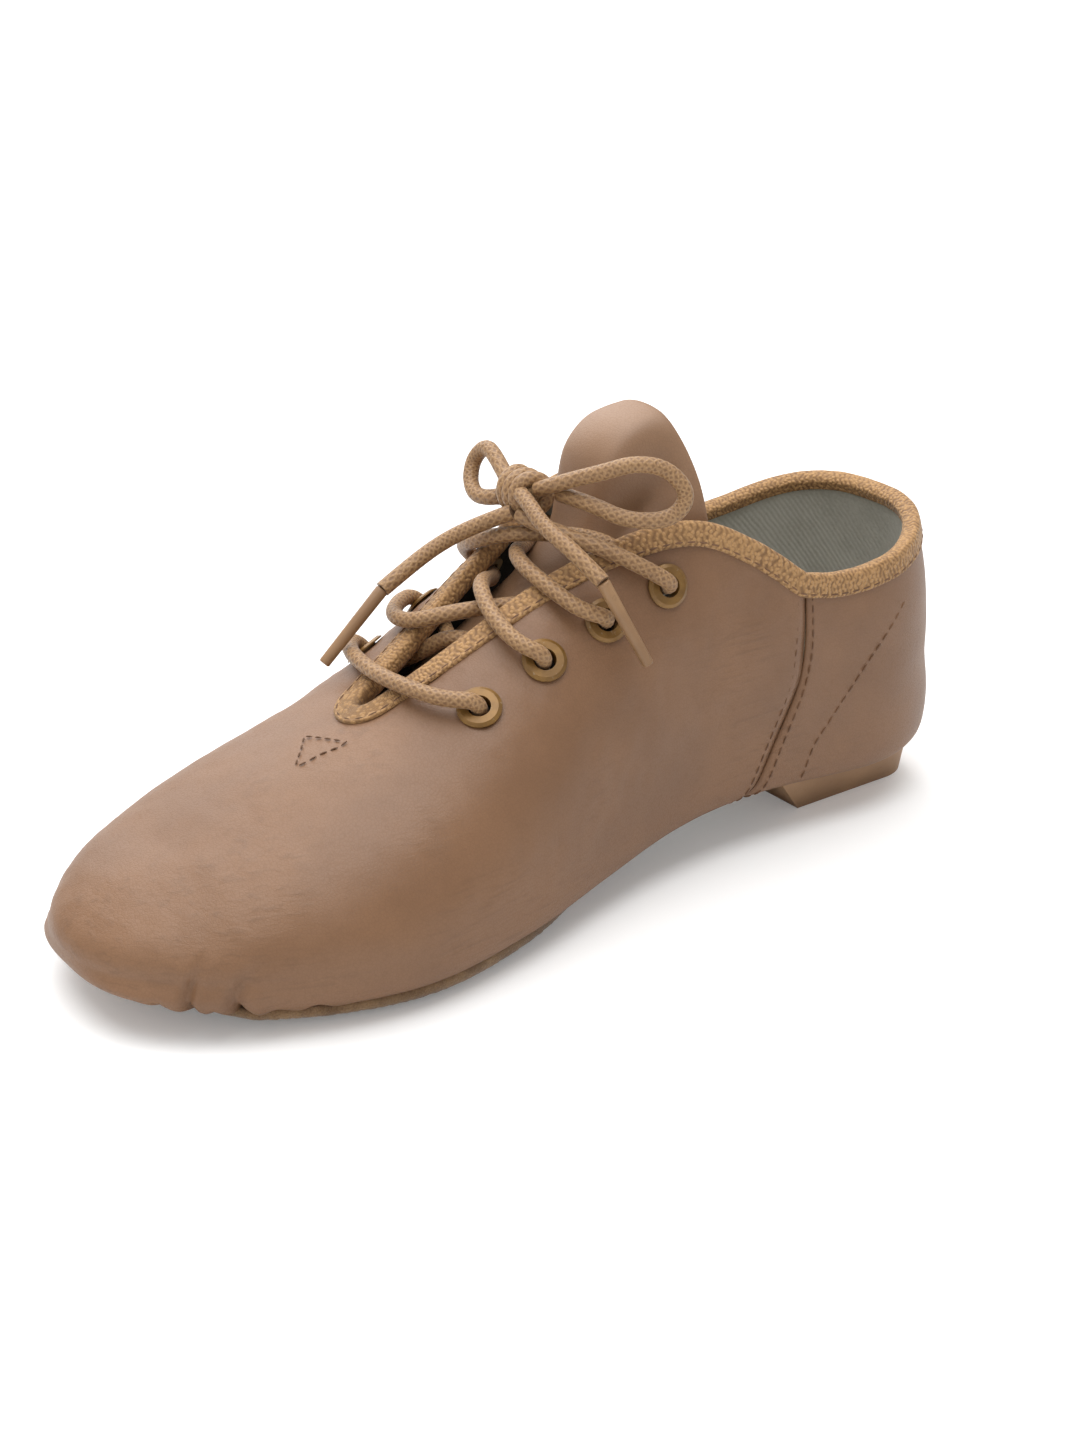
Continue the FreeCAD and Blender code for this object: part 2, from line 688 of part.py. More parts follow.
# ---------------------------------------------------------------- rolled eyelets
eyeletSection = [
    ("$eyeletHoleRadius", "$eyeletFlangeHeight + 0.12"),
    ("$eyeletFlangeRadius - 0.7", "$eyeletFlangeHeight + 0.12"),
    ("$eyeletFlangeRadius", "$eyeletFlangeHeight * 0.4 + 0.12"),
    ("$eyeletFlangeRadius", "0.12"),
    ("$eyeletHoleRadius + $eyeletWall", "0.12"),
    ("$eyeletHoleRadius + $eyeletWall", "-$eyeletGrip"),
    ("$eyeletRollRadius", "-$eyeletGrip"),
    ("$eyeletRollRadius", "-$eyeletGrip - 0.45"),
    ("$eyeletHoleRadius", "-$eyeletGrip - 0.45"),
]
for name, spot, normal in eyelets:
    body = doc.addObject("PartDesign::Body", name)
    body.Label = name
    sketch = boundSketch(body, name + "_section", "XZ_Plane", eyeletSection)
    doc.recompute()
    turn = body.newObject("PartDesign::Revolution", name + "_turn")
    turn.Profile = sketch
    turn.ReferenceAxis = (sketch, ["V_Axis"])
    turn.Angle = 360.0
    body.Placement = FreeCAD.Placement(spot, FreeCAD.Rotation(Vec(0, 0, 1), normal))
    nodes.append(body)
doc.recompute()


# ---------------------------------------------------------------- the lace
def bends(points):
    """Largest tangent arc at each inner point of a route: 0.45 of the shorter run."""
    out = []
    for before, at, after in zip(points, points[1:], points[2:]):
        a, b = at - before, after - at
        turn = a.getAngle(b)
        radius = 0.45 * min(a.Length, b.Length) / math.tan(turn / 2)
        out.append((radius, turn))
    return out


def cordTube(name, points, diameter):
    edges = []
    start = points[0]
    radii = bends(points)
    for (radius, turn), before, at, after in zip(radii, points, points[1:], points[2:]):
        reach = radius * math.tan(turn / 2)
        into = (at - before).normalize()
        out = (after - at).normalize()
        first, second = at - into * reach, at + out * reach
        inward = (out - into).normalize()
        middle = at + inward * (radius / math.cos(turn / 2) - radius)
        edges += [Part.LineSegment(start, first).toShape(), Part.Arc(first, middle, second).toShape()]
        start = second
    edges.append(Part.LineSegment(start, points[-1]).toShape())
    path = Part.Wire(edges)
    ring = Part.Wire([Part.makeCircle(diameter / 2, points[0], points[1] - points[0])])
    tube = path.makePipeShell([ring], True, False)
    expected = math.pi * diameter ** 2 / 4 * path.Length
    print("%s: length %.1f, tightest radius %.1f, volume over expected %.3f"
          % (name, path.Length, min(r for r, t in radii), tube.Volume / expected))
    return tube


laceRoutes = {
    # from the knot down the near side, through the eyelets in turn, and back up the far side
    "lacing": [
        (-1.1, 104.8, 76.3), (5.6, 105.9, 75.4), (18.2, 112.6, 72.7), (23.9, 118.8, 68.8),
        (25.5, 123.5, 65.3), (18.4, 124.3, 62.7), (12.1, 119.4, 70.2), (7, 116.4, 71.7),
        (2.7, 110.3, 72.4), (-3.8, 103.5, 71.9), (-11.6, 101.4, 68.6), (-19.9, 103.8, 65.1),
        (-24.2, 108.4, 60.8), (-17.9, 110.5, 57), (-12.1, 105.7, 60.2), (-7.5, 102.5, 61.2),
        (-3.5, 97.7, 63.5), (2.3, 92.6, 64.6), (10.2, 89.7, 62.1), (18.7, 89.5, 59),
        (23.1, 93.7, 56.8), (18.1, 96, 51.6), (12.1, 94, 53.9), (6.3, 91.2, 54.3),
        (0, 86.7, 55), (-6.2, 84.8, 50.1), (-12.1, 81.9, 46.1), (-17.7, 81.5, 43.2),
        (-22.1, 78.8, 48.7), (-17.9, 73.0, 48.4), (-10.1, 67.6, 48.8), (0, 66.4, 48.6),
        (9.9, 69, 49.8), (17.6, 73.5, 50.7), (21.7, 78.7, 50.7), (18.3, 81.7, 44.6),
        (12.1, 84, 48), (4.5, 86, 50.3), (-4.4, 89.6, 52.6), (-11.7, 93, 52.8),
        (-17.8, 96, 50.3), (-23.3, 93.7, 55), (-18.8, 86.7, 56.2), (-13, 81.6, 56),
        (-5.3, 81.9, 57.3), (0.3, 87.1, 59.9), (3.4, 95.5, 60.3), (7.7, 102, 60.9),
        (12.2, 106.7, 61.1), (18, 110.3, 57.6), (24.2, 108.5, 61.5), (21.5, 102.9, 63.5),
        (14.3, 100.3, 66.9), (5.3, 100.4, 68.9), (-2.9, 105, 68.2), (-7.8, 110.8, 66.6),
        (-12.6, 117, 67.6), (-18.5, 124.5, 63.4), (-25.5, 123.3, 66), (-21.9, 117.8, 72),
        (-16.3, 111.2, 74.6), (-11.7, 106.6, 77)],
    "near_bow_loop": [
        (0.8, 107.9, 81.5), (8.1, 109.8, 84.9), (15.7, 112.4, 88.1), (19.5, 117.3, 90.1),
        (22.9, 122.8, 89.0), (26.2, 125.9, 83.9), (25.0, 122.9, 79.0), (20.5, 115.4, 78.8),
        (13.0, 111.2, 81.4), (4.5, 110.8, 81.0)],
    "far_bow_loop": [
        (-7.8, 106.7, 81.5), (-13.7, 108.2, 84.4), (-19.1, 109.4, 85.6), (-22.6, 108.4, 81.7),
        (-20.1, 105.9, 77.4), (-14.8, 104.8, 75.8), (-9.8, 106.4, 77.6)],
    "near_lace_end": [
        (-3.4, 105.6, 81.2), (2.4, 104.2, 80.1), (9.4, 103.0, 77.1), (18.2, 104.0, 74.2),
        (24.8, 105.8, 69.7)],
    "far_lace_end": [
        (-2.3, 104.1, 76.8), (-7.4, 100.4, 73.9), (-12.0, 94.3, 70.1), (-13.8, 87.6, 66.0),
        (-14.1, 80.3, 61.8)],
}
laceDiameter = size("laceDiameter")
for name, places in laceRoutes.items():
    addShape(name, cordTube(name, [Vec(*place) * unit for place in places], laceDiameter))

agletTips = {"near_lace_end": (31.8, 112.8, 52.0), "far_lace_end": (-15.2, 67.9, 49.6)}
for name, tip in agletTips.items():
    end = Vec(*laceRoutes[name][-1]) * unit
    aglet = doc.addObject("Part::Cylinder", name.split("_")[0] + "_aglet")
    aglet.Label = aglet.Name
    aglet.setExpression("Radius", "Sizes.agletRadius")
    aglet.setExpression("Height", "Sizes.agletLength")
    aglet.Placement = FreeCAD.Placement(end, FreeCAD.Rotation(Vec(0, 0, 1), Vec(*tip) * unit - end))
    nodes.append(aglet)

knot = doc.addObject("Part::Ellipsoid", "lace_knot")
knot.Label = "lace_knot"
knot.setExpression("Radius1", "Sizes.knotHeight / 2")
knot.setExpression("Radius2", "Sizes.knotWidth / 2")
knot.setExpression("Radius3", "Sizes.knotWidth / 2")
knot.Placement = FreeCAD.Placement(Vec(-4.5, 108.3, 80.0) * unit, FreeCAD.Rotation(Vec(0, 1, 0), -20))
nodes.append(knot)

# ---------------------------------------------------------------- into the model's frame
toModel = FreeCAD.Placement(Vec(-2.75 * unit, -shoeLength / 2, 0), FreeCAD.Rotation())
doc.recompute()
for item in nodes:
    item.Placement = toModel.multiply(item.Placement)
doc.recompute()

# ---------------------------------------------------------------- write the parts
doc.recompute()
os.makedirs("parts", exist_ok=True)
for item in doc.Objects:
    if "Invalid" in item.State or "Error" in item.State:
        raise RuntimeError("failed object: " + item.Label)
for item in nodes:
    shape = item.Shape
    if shape.isNull() or not shape.isValid() or shape.Volume <= 0:
        raise RuntimeError("bad shape: " + item.Label)
    print(item.Label, len(shape.Solids), round(shape.Volume, 1))
    shape.exportStep("parts/%s.step" % item.Label)
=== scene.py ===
# Lace-up split-sole dance shoe, dressed over its CAD frame.
import bpy
import math
from mathutils import Matrix, Vector, noise


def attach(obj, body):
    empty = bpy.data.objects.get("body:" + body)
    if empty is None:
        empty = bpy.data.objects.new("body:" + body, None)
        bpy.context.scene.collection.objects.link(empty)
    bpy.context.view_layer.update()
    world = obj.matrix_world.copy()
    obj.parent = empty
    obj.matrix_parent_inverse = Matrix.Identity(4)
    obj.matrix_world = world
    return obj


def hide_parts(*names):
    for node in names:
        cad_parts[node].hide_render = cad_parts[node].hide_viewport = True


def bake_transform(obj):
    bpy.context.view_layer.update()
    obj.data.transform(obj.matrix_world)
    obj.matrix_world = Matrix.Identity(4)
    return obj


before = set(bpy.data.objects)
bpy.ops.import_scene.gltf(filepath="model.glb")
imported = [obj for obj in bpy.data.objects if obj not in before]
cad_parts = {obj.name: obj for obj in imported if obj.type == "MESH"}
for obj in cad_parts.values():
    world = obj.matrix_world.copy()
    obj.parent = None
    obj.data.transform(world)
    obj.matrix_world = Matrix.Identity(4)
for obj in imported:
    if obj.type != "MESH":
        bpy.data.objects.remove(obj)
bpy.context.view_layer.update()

# The shape is worked out in millimetres on the last: x across, y back from the toe, z up.
metre = 0.001
lastShift = Vector((-2.75, -105.0, 0.0))


def place(p):
    return (Vector(p) + lastShift) * metre


def deselect():
    if bpy.context.object and bpy.context.object.mode != "OBJECT":
        bpy.ops.object.mode_set(mode="OBJECT")
    bpy.ops.object.select_all(action="DESELECT")


def pick(piece):
    deselect()
    piece.select_set(True)
    bpy.context.view_layer.objects.active = piece


def modify(piece, kind, **settings):
    # adds a modifier, sets it and applies it
    pick(piece)
    bpy.ops.object.modifier_add(type=kind)
    modifier = piece.modifiers[-1]
    for key, value in settings.items():
        setattr(modifier, key, value)
    bpy.ops.object.modifier_apply(modifier=modifier.name)


# Camera and light
viewSetup = {
    "place": (0.32205, -0.2376, 0.2133),
    "back": (0.7308, -0.5447, 0.4112),
    "roll": 0.46,
    "lens": 53.06,
    "sensor": 36,
}
cameraData = bpy.data.cameras.new("shoeCamera")
cameraData.lens = viewSetup["lens"]
cameraData.sensor_width = viewSetup["sensor"]
camera = bpy.data.objects.new("shoeCamera", cameraData)
bpy.context.collection.objects.link(camera)
backward = Vector(viewSetup["back"]).normalized()
rightward = Vector((0, 0, 1)).cross(backward).normalized()
upward = backward.cross(rightward)
turn = math.radians(viewSetup["roll"])
rightward = rightward * math.cos(turn) + upward * math.sin(turn)
upward = backward.cross(rightward)
cameraTurn = Matrix((rightward, upward, backward)).transposed().to_4x4()
camera.matrix_world = Matrix.Translation(viewSetup["place"]) @ cameraTurn
bpy.context.scene.camera = camera

lightSetup = {
    # name: place, size, watts
    "softTop": ((-0.1, 0.0, 1.0), 1.2, 14.0),
    "softFar": ((-0.85, 0.15, 0.6), 0.8, 5.0),
    "softFront": ((0.35, -0.9, 0.8), 0.7, 1.5),
}
lightAim = Vector((0, 0, 0.03))
worldSetup = {"tint": (1.0, 0.995, 0.98, 1), "strength": 0.5}
for name, (spot, side, watts) in lightSetup.items():
    lamp = bpy.data.lights.new(name, "AREA")
    lamp.size = side
    lamp.energy = watts
    lampObject = bpy.data.objects.new(name, lamp)
    bpy.context.collection.objects.link(lampObject)
    lampObject.location = spot
    lampObject.rotation_euler = (Vector(spot) - lightAim).to_track_quat("Z", "Y").to_euler()
world = bpy.data.worlds.new("studio")
world.use_nodes = True
world.node_tree.nodes["Background"].inputs[0].default_value = worldSetup["tint"]
world.node_tree.nodes["Background"].inputs[1].default_value = worldSetup["strength"]
bpy.context.scene.world = world
bpy.context.scene.view_settings.view_transform = "Standard"
print("camera and lights set")


# Shader maths written as plain expressions
class Value:
    # one socket that can be added, taken away and multiplied
    def __init__(self, tree, socket):
        self.tree = tree
        self.socket = socket

    def join(self, how, *terms):
        return addNode(self.tree, "ShaderNodeMath", {"operation": how}, dict(enumerate(terms)))

    def __add__(self, other):
        return self.join("ADD", self, other)

    def __radd__(self, other):
        return self.join("ADD", other, self)

    def __sub__(self, other):
        return self.join("SUBTRACT", self, other)

    def __rsub__(self, other):
        return self.join("SUBTRACT", other, self)

    def __mul__(self, other):
        return self.join("MULTIPLY", self, other)

    def __rmul__(self, other):
        return self.join("MULTIPLY", other, self)

    def sine(self):
        return self.join("SINE", self)

    def larger(self, other):
        return self.join("MAXIMUM", self, other)

    def out(self, name):
        return Value(self.tree, self.socket.node.outputs[name])


def addNode(tree, kind, settings, inputs):
    # settings first, then the values or links of the sockets
    node = tree.nodes.new(kind)
    for key, value in settings.items():
        if key == "stops":
            ramp = node.color_ramp
            while len(ramp.elements) < len(value):
                ramp.elements.new(0.5)
            for element, (at, colour) in zip(ramp.elements, value):
                element.position = at
                element.color = (*colour, 1) if len(colour) == 3 else colour
        else:
            setattr(node, key, value)
    for key, value in inputs.items():
        if isinstance(value, Value):
            tree.links.new(value.socket, node.inputs[key])
        else:
            node.inputs[key].default_value = value
    return Value(tree, node.outputs[0])


def linear(red, green, blue):
    # display colour from 0 to 255 into the shader's scale
    return tuple((c / 255 / 12.92) if c < 10.3 else ((c / 255 + 0.055) / 1.055) ** 2.4
                 for c in (red, green, blue))


class Finish:
    # one material: its tree, its main shader and the nodes that most of them share
    def __init__(self, name, **constants):
        self.material = bpy.data.materials.new(name)
        self.material.use_nodes = True
        self.tree = self.material.node_tree
        self.shader = self.tree.nodes["Principled BSDF"]
        for key, value in constants.items():
            self.shader.inputs[key.replace("_", " ")].default_value = value
        self.place = self.add("ShaderNodeTexCoord", {}, {}).out("Object")

    def add(self, kind, settings, inputs):
        return addNode(self.tree, kind, settings, inputs)

    def noise(self, scale, detail=3.0, rough=0.55, vector=None, distort=0.0):
        return self.add("ShaderNodeTexNoise", {}, {
            "Vector": vector or self.place, "Scale": scale, "Detail": detail,
            "Roughness": rough, "Distortion": distort})

    def cells(self, scale, feature="F1", vector=None):
        return self.add("ShaderNodeTexVoronoi", {"feature": feature}, {
            "Vector": vector or self.place, "Scale": scale})

    def ramp(self, value, low, high):
        # 0 below low, 1 above high
        return self.add("ShaderNodeMapRange", {"clamp": True, "interpolation_type": "SMOOTHSTEP"}, {
            "Value": value, "From Min": low, "From Max": high})

    def mix(self, factor, first, second, how="MIX"):
        def four(c):
            return c if isinstance(c, Value) else (*c[:3], 1)
        mixed = self.tree.nodes.new("ShaderNodeMix")
        mixed.data_type = "RGBA"
        mixed.blend_type = how
        for index, value in ((0, factor), (6, four(first)), (7, four(second))):
            if isinstance(value, Value):
                self.tree.links.new(value.socket, mixed.inputs[index])
            else:
                mixed.inputs[index].default_value = value
        return Value(self.tree, mixed.outputs[2])

    def bump(self, height, strength, depth, normal=None):
        inputs = {"Height": height, "Strength": strength, "Distance": depth}
        if normal:
            inputs["Normal"] = normal
        return self.add("ShaderNodeBump", {}, inputs)

    def finish(self, colour=None, rough=None, normal=None):
        for key, value in (("Base Color", colour), ("Roughness", rough), ("Normal", normal)):
            if value is not None:
                self.tree.links.new(value.socket, self.shader.inputs[key])
        return self.material


def darker(colour, share):
    return tuple(c * share for c in colour)


def leatherFinish(name, light, dark):
    f = Finish(name, Specular_IOR_Level=0.5)
    pores = f.ramp(f.cells(1500.0, "DISTANCE_TO_EDGE"), 0.0, 0.16)
    cloud = f.noise(38.0, 4.0)
    fine = f.noise(620.0, 3.0)
    # fine creases that run along the foot, in patches
    drawn = f.add("ShaderNodeMapping", {}, {"Vector": f.place, "Scale": (1.0, 0.28, 2.6)})
    creases = f.noise(360.0, 3.0, 0.55, drawn, 0.5)
    patch = f.ramp(f.noise(34.0, 2.0), 0.46, 0.68)
    dirt = f.ramp(f.noise(90.0, 5.0, 0.65), 0.52, 0.74)
    tone = f.mix(f.ramp(cloud, 0.3, 0.72), dark, light)
    tone = f.mix(dirt * 0.1, tone, darker(dark, 0.62))
    tone = f.mix((1 - pores) * 0.12, tone, darker(dark, 0.5))
    tone = f.mix(f.ramp(creases, 0.5, 0.72) * patch * 0.22, tone, darker(dark, 0.5))
    rough = 0.38 + cloud * 0.14 + (1 - pores) * 0.08
    wrinkles = f.bump(creases * patch + f.noise(150.0, 2.0) * 0.4, 0.13, 0.0012)
    surface = f.bump(pores * 0.6 + fine * 0.4, 0.25, 0.00012, wrinkles)
    return f.finish(tone, rough, surface)


def clothTone(f, fuzz, light, dark):
    return f.mix(f.ramp(f.noise(60.0, 3.0) * 0.6 + fuzz * 0.4, 0.35, 0.62), dark, light)


def clothFinish(name, light, dark, threads=1400.0):
    f = Finish(name, Roughness=0.85, Specular_IOR_Level=0.25, Sheen_Weight=0.2, Sheen_Roughness=0.5)
    fuzz = f.noise(threads, 2.0)
    weave = f.add("ShaderNodeTexWave", {"bands_direction": "DIAGONAL"}, {
        "Vector": f.place, "Scale": threads / 4, "Distortion": 1.5, "Detail": 1.0})
    tone = clothTone(f, fuzz, light, dark)
    return f.finish(tone, None, f.bump(weave * 0.6 + fuzz * 0.6, 0.5, 0.0002))


def vampClothFinish(name, light, dark):
    # a plainer cloth, with painted shade that darkens it towards the toe
    f = Finish(name, Roughness=0.9, Specular_IOR_Level=0.2)
    spot = f.add("ShaderNodeSeparateXYZ", {}, {0: f.place})
    fuzz = f.noise(1400.0, 2.0)
    # painted shade: the cloth turns near black towards the toe, where the throat lies in shadow
    paintedToeShade = f.ramp(spot.out("Y"), 0.032, 0.012)
    tone = f.mix(paintedToeShade, clothTone(f, fuzz, light, dark), (0.022, 0.018, 0.015))
    return f.finish(tone, None, f.bump(fuzz, 0.5, 0.0002))


def knitFinish(name, light, dark, along, across):
    # small knots over ribs that follow the tape's own map
    f = Finish(name, Roughness=0.66, Specular_IOR_Level=0.35, Sheen_Weight=0.15, Sheen_Roughness=0.4)
    spot = f.add("ShaderNodeSeparateXYZ", {}, {0: f.add("ShaderNodeTexCoord", {}, {}).out("UV")})
    u, v = spot.out("Y") * along, spot * across
    ribs = (u * math.tau + (v * math.pi).sine() * 1.6).sine()
    knots = 1 - f.ramp(f.cells(1150.0), 0.15, 0.62)
    height = knots * 0.75 + ribs * 0.14 + f.noise(2600.0, 2.0) * 0.25
    cloud = f.noise(120.0, 4.0)
    # painted shade and painted highlight: the colour runs from dark in the low parts of the knit to
    # light on the knots' tops, with a cloudy tone of its own
    tone = f.mix(f.ramp(height + cloud * 0.5, -0.1, 0.85), dark, light)
    return f.finish(tone, None, f.bump(height, 0.7, 0.0003))


# the light and dark tones are the lace's lit and shaded colours, used as painted highlight and painted
# shade
braid = {"pitch": 0.0017, "strands": 7, "light": linear(168, 132, 92), "dark": linear(124, 92, 62)}


def braidFinish(name, length):
    # two crossing sets of fine strands round the cord, waxed and a little speckled
    f = Finish(name, Roughness=0.5, Specular_IOR_Level=0.45, Sheen_Weight=0.1, Sheen_Roughness=0.4)
    spot = f.add("ShaderNodeSeparateXYZ", {}, {0: f.add("ShaderNodeTexCoord", {}, {}).out("UV")})
    u = spot * (length / braid["pitch"] * math.tau)
    v = spot.out("Y") * (braid["strands"] * math.tau)
    speckle = f.ramp(f.cells(1900.0), 0.2, 0.7)
    strands = (u + v).sine().larger((u - v).sine())
    height = strands * 0.5 - speckle * 0.5 + f.noise(2600.0, 2.0) * 0.4
    cloud = f.noise(140.0, 4.0)
    # painted shade between the strands and painted highlight on them, with the speckles and clouds as
    # the cord's own tone
    tone = f.mix(f.ramp(height + cloud * 0.9, -0.25, 1.25), braid["dark"], braid["light"])
    return f.finish(tone, None, f.bump(height, 0.55, 0.00018))


def enamelFinish(name, light, dark):
    f = Finish(name, Metallic=0.35, Specular_IOR_Level=0.5, Coat_Weight=0.25, Coat_Roughness=0.3)
    cloud = f.noise(260.0, 4.0)
    chips = f.ramp(f.noise(900.0, 4.0, 0.7), 0.62, 0.72)
    tone = f.mix(f.ramp(cloud, 0.35, 0.65), dark, light)
    tone = f.mix(chips * 0.35, tone, (0.5, 0.43, 0.33))
    return f.finish(tone, 0.34 + cloud * 0.2, f.bump(f.noise(1300.0, 2.0), 0.2, 0.0001))


def suedeFinish(name, light, dark):
    f = Finish(name, Roughness=0.95, Specular_IOR_Level=0.15, Sheen_Weight=0.35, Sheen_Roughness=0.6)
    nap = f.noise(2600.0, 4.0, 0.7)
    cloud = f.noise(140.0, 4.0, 0.6)
    worn = f.ramp(f.noise(45.0, 3.0), 0.5, 0.68)
    tone = f.mix(f.ramp(cloud * 0.5 + nap * 0.5, 0.38, 0.62), dark, light)
    tone = f.mix(worn * 0.35, tone, darker(dark, 0.55))
    return f.finish(tone, None, f.bump(nap, 0.7, 0.0003))


def mouldedFinish(name, light, dark, rough=0.5):
    f = Finish(name, Specular_IOR_Level=0.4)
    stipple = f.noise(1900.0, 2.0)
    cloud = f.noise(55.0, 3.0)
    scuffs = f.ramp(f.noise(300.0, 5.0, 0.7, distort=2.0), 0.6, 0.7)
    tone = f.mix(f.ramp(cloud, 0.35, 0.65), dark, light)
    tone = f.mix(scuffs * 0.25, tone, darker(dark, 0.6))
    return f.finish(tone, rough + cloud * 0.14 + scuffs * 0.15, f.bump(stipple, 0.25, 0.00012))


tan = linear(132, 96, 67)
tanDark = linear(121, 87, 60)
materials = {
    "leather": leatherFinish("tanLeather", tan, tanDark),
    "tongueLeather": leatherFinish("tongueLeather", linear(144, 111, 84), linear(133, 101, 75)),
    "lining": clothFinish("greyLining", linear(192, 191, 181), linear(174, 173, 162)),
    # the lining's cloth with painted shade towards the toe
    "vampCloth": vampClothFinish("vampCloth", linear(192, 191, 181), linear(174, 173, 162)),
    # the knit's light and dark tones are painted highlight and painted shade
    "knit": knitFinish("knitTape", linear(176, 136, 90), linear(98, 68, 42), 380.0, 12.0),
    "thread": mouldedFinish("tanThread", linear(118, 86, 62), linear(98, 70, 50), 0.6),
    "enamel": enamelFinish("eyeletEnamel", linear(134, 98, 44), linear(114, 81, 33)),
    "suede": suedeFinish("soleSuede", linear(158, 126, 90), linear(118, 90, 62)),
    "heel": mouldedFinish("heelRubber", linear(164, 130, 99), linear(152, 119, 90)),
    "aglet": mouldedFinish("agletFilm", linear(158, 124, 90), linear(138, 106, 76), 0.32),
    "board": mouldedFinish("boardFibre", linear(190, 172, 140), linear(160, 142, 112), 0.75),
    "felt": clothFinish("greyFelt", linear(120, 112, 102), linear(92, 86, 78), 900.0),
    "tape": clothFinish("stayTape", linear(200, 188, 164), linear(176, 164, 140)),
    "foam": clothFinish("sockCloth", linear(128, 122, 110), linear(98, 92, 82)),
    "steel": enamelFinish("tackSteel", linear(170, 170, 170), linear(140, 140, 142)),
}
print("materials made")


def dress(piece, finish, body=None, replaced=()):
    piece.data.materials.clear()
    piece.data.materials.append(materials[finish] if isinstance(finish, str) else finish)
    if replaced:
        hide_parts(*replaced)
    if body:
        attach(piece, body)
    return piece


# Floor: it glows softly away from the shoe and a little in its shadow
floorSetup = {"size": 60, "glowStart": 0.16, "glowEnd": 1.1, "glow": 0.7, "shadowGlow": 0.16}
bpy.ops.mesh.primitive_plane_add(size=floorSetup["size"])
floor = bpy.context.object
floor.name = "studioFloor"
floorFinish = Finish("paleFloor", Roughness=0.8, Specular_IOR_Level=0.2, Emission_Strength=1.0)
floorTone = floorFinish.mix(floorFinish.noise(3.0), (0.84, 0.84, 0.84), (0.87, 0.87, 0.87))
away = floorFinish.add("ShaderNodeVectorMath", {"operation": "LENGTH"},
                       {0: floorFinish.place}).out("Value")
seen = floorFinish.add("ShaderNodeLightPath", {}, {}).out("Is Camera Ray")
glow = floorFinish.ramp(away, floorSetup["glowStart"], floorSetup["glowEnd"]) * floorSetup["glow"]
glow = (glow + floorSetup["shadowGlow"]) * seen
glowTone = floorFinish.mix(glow, (0.0, 0.0, 0.0), (1.0, 1.0, 1.0))
floorFinish.tree.links.new(glowTone.socket, floorFinish.shader.inputs["Emission Color"])
floor.data.materials.append(floorFinish.finish(floorTone))

# The lace: routes on the last, the knot first
laceSetup = {
    "diameter": 3.3,
    "lengths": {"lacing": 469.8, "near_bow_loop": 66.8, "far_bow_loop": 32.9,
                "near_lace_end": 31.2, "far_lace_end": 31.8},
}
laceRoutes = {
    "lacing": [
        (-1.1, 104.8, 76.3), (5.6, 105.9, 75.4), (18.2, 112.6, 72.7), (23.9, 118.8, 68.8),
        (25.5, 123.5, 65.3), (18.4, 124.3, 62.7), (12.1, 119.4, 70.2), (7, 116.4, 71.7),
        (2.7, 110.3, 72.4), (-3.8, 103.5, 71.9), (-11.6, 101.4, 68.6), (-19.9, 103.8, 65.1),
        (-24.2, 108.4, 60.8), (-17.9, 110.5, 57), (-12.1, 105.7, 60.2), (-7.5, 102.5, 61.2),
        (-3.5, 97.7, 63.5), (2.3, 92.6, 64.6), (10.2, 89.7, 62.1), (18.7, 89.5, 59),
        (23.1, 93.7, 56.8), (18.1, 96, 51.6), (12.1, 94, 53.9), (6.3, 91.2, 54.3),
        (0, 86.7, 55), (-6.2, 84.8, 50.1), (-12.1, 81.9, 46.1), (-17.7, 81.5, 43.2),
        (-22.1, 78.8, 48.7), (-19.0, 74.8, 49.2), (-10.5, 71.3, 50.3), (0, 69.8, 50.7),
        (9.9, 70.8, 51.0), (17.6, 73.5, 50.7), (21.7, 78.7, 50.7), (18.3, 81.7, 44.6),
        (12.1, 84, 48), (4.5, 86, 50.3), (-4.4, 89.6, 52.6), (-11.7, 93, 52.8),
        (-17.8, 96, 50.3), (-23.3, 93.7, 55), (-18.8, 86.7, 56.2), (-13, 81.6, 56),
        (-5.3, 81.9, 57.3), (0.3, 87.1, 59.9), (3.4, 95.5, 60.3), (7.7, 102, 60.9),
        (12.2, 106.7, 61.1), (18, 110.3, 57.6), (24.2, 108.5, 61.5), (21.5, 102.9, 63.5),
        (14.3, 100.3, 66.9), (5.3, 100.4, 68.9), (-2.9, 105, 68.2), (-7.8, 110.8, 66.6),
        (-12.6, 117, 67.6), (-18.5, 124.5, 63.4), (-25.5, 123.3, 66), (-21.9, 117.8, 72),
        (-16.3, 111.2, 74.6), (-11.7, 106.6, 77)],
    "near_bow_loop": [
        (0.8, 107.9, 81.5), (8.1, 109.8, 84.9), (15.7, 112.4, 88.1), (19.5, 117.3, 90.1),
        (22.9, 122.8, 89.0), (26.2, 125.9, 83.9), (25.0, 122.9, 79.0), (20.5, 115.4, 78.8),
        (13.0, 111.2, 81.4), (4.5, 110.8, 81.0)],
    "far_bow_loop": [
        (-7.8, 106.7, 81.5), (-13.7, 108.2, 84.4), (-19.1, 109.4, 85.6), (-22.6, 108.4, 81.7),
        (-20.1, 105.9, 77.4), (-14.8, 104.8, 75.8), (-9.8, 106.4, 77.6)],
    "near_lace_end": [
        (-3.4, 105.6, 81.2), (2.4, 104.2, 80.1), (9.4, 103.0, 77.1), (18.2, 104.0, 74.2),
        (24.8, 105.8, 69.7)],
    "far_lace_end": [
        (-2.3, 104.1, 76.8), (-7.4, 100.4, 73.9), (-12.0, 94.3, 70.1), (-13.8, 87.6, 66.0),
        (-14.1, 80.3, 61.8)],
}


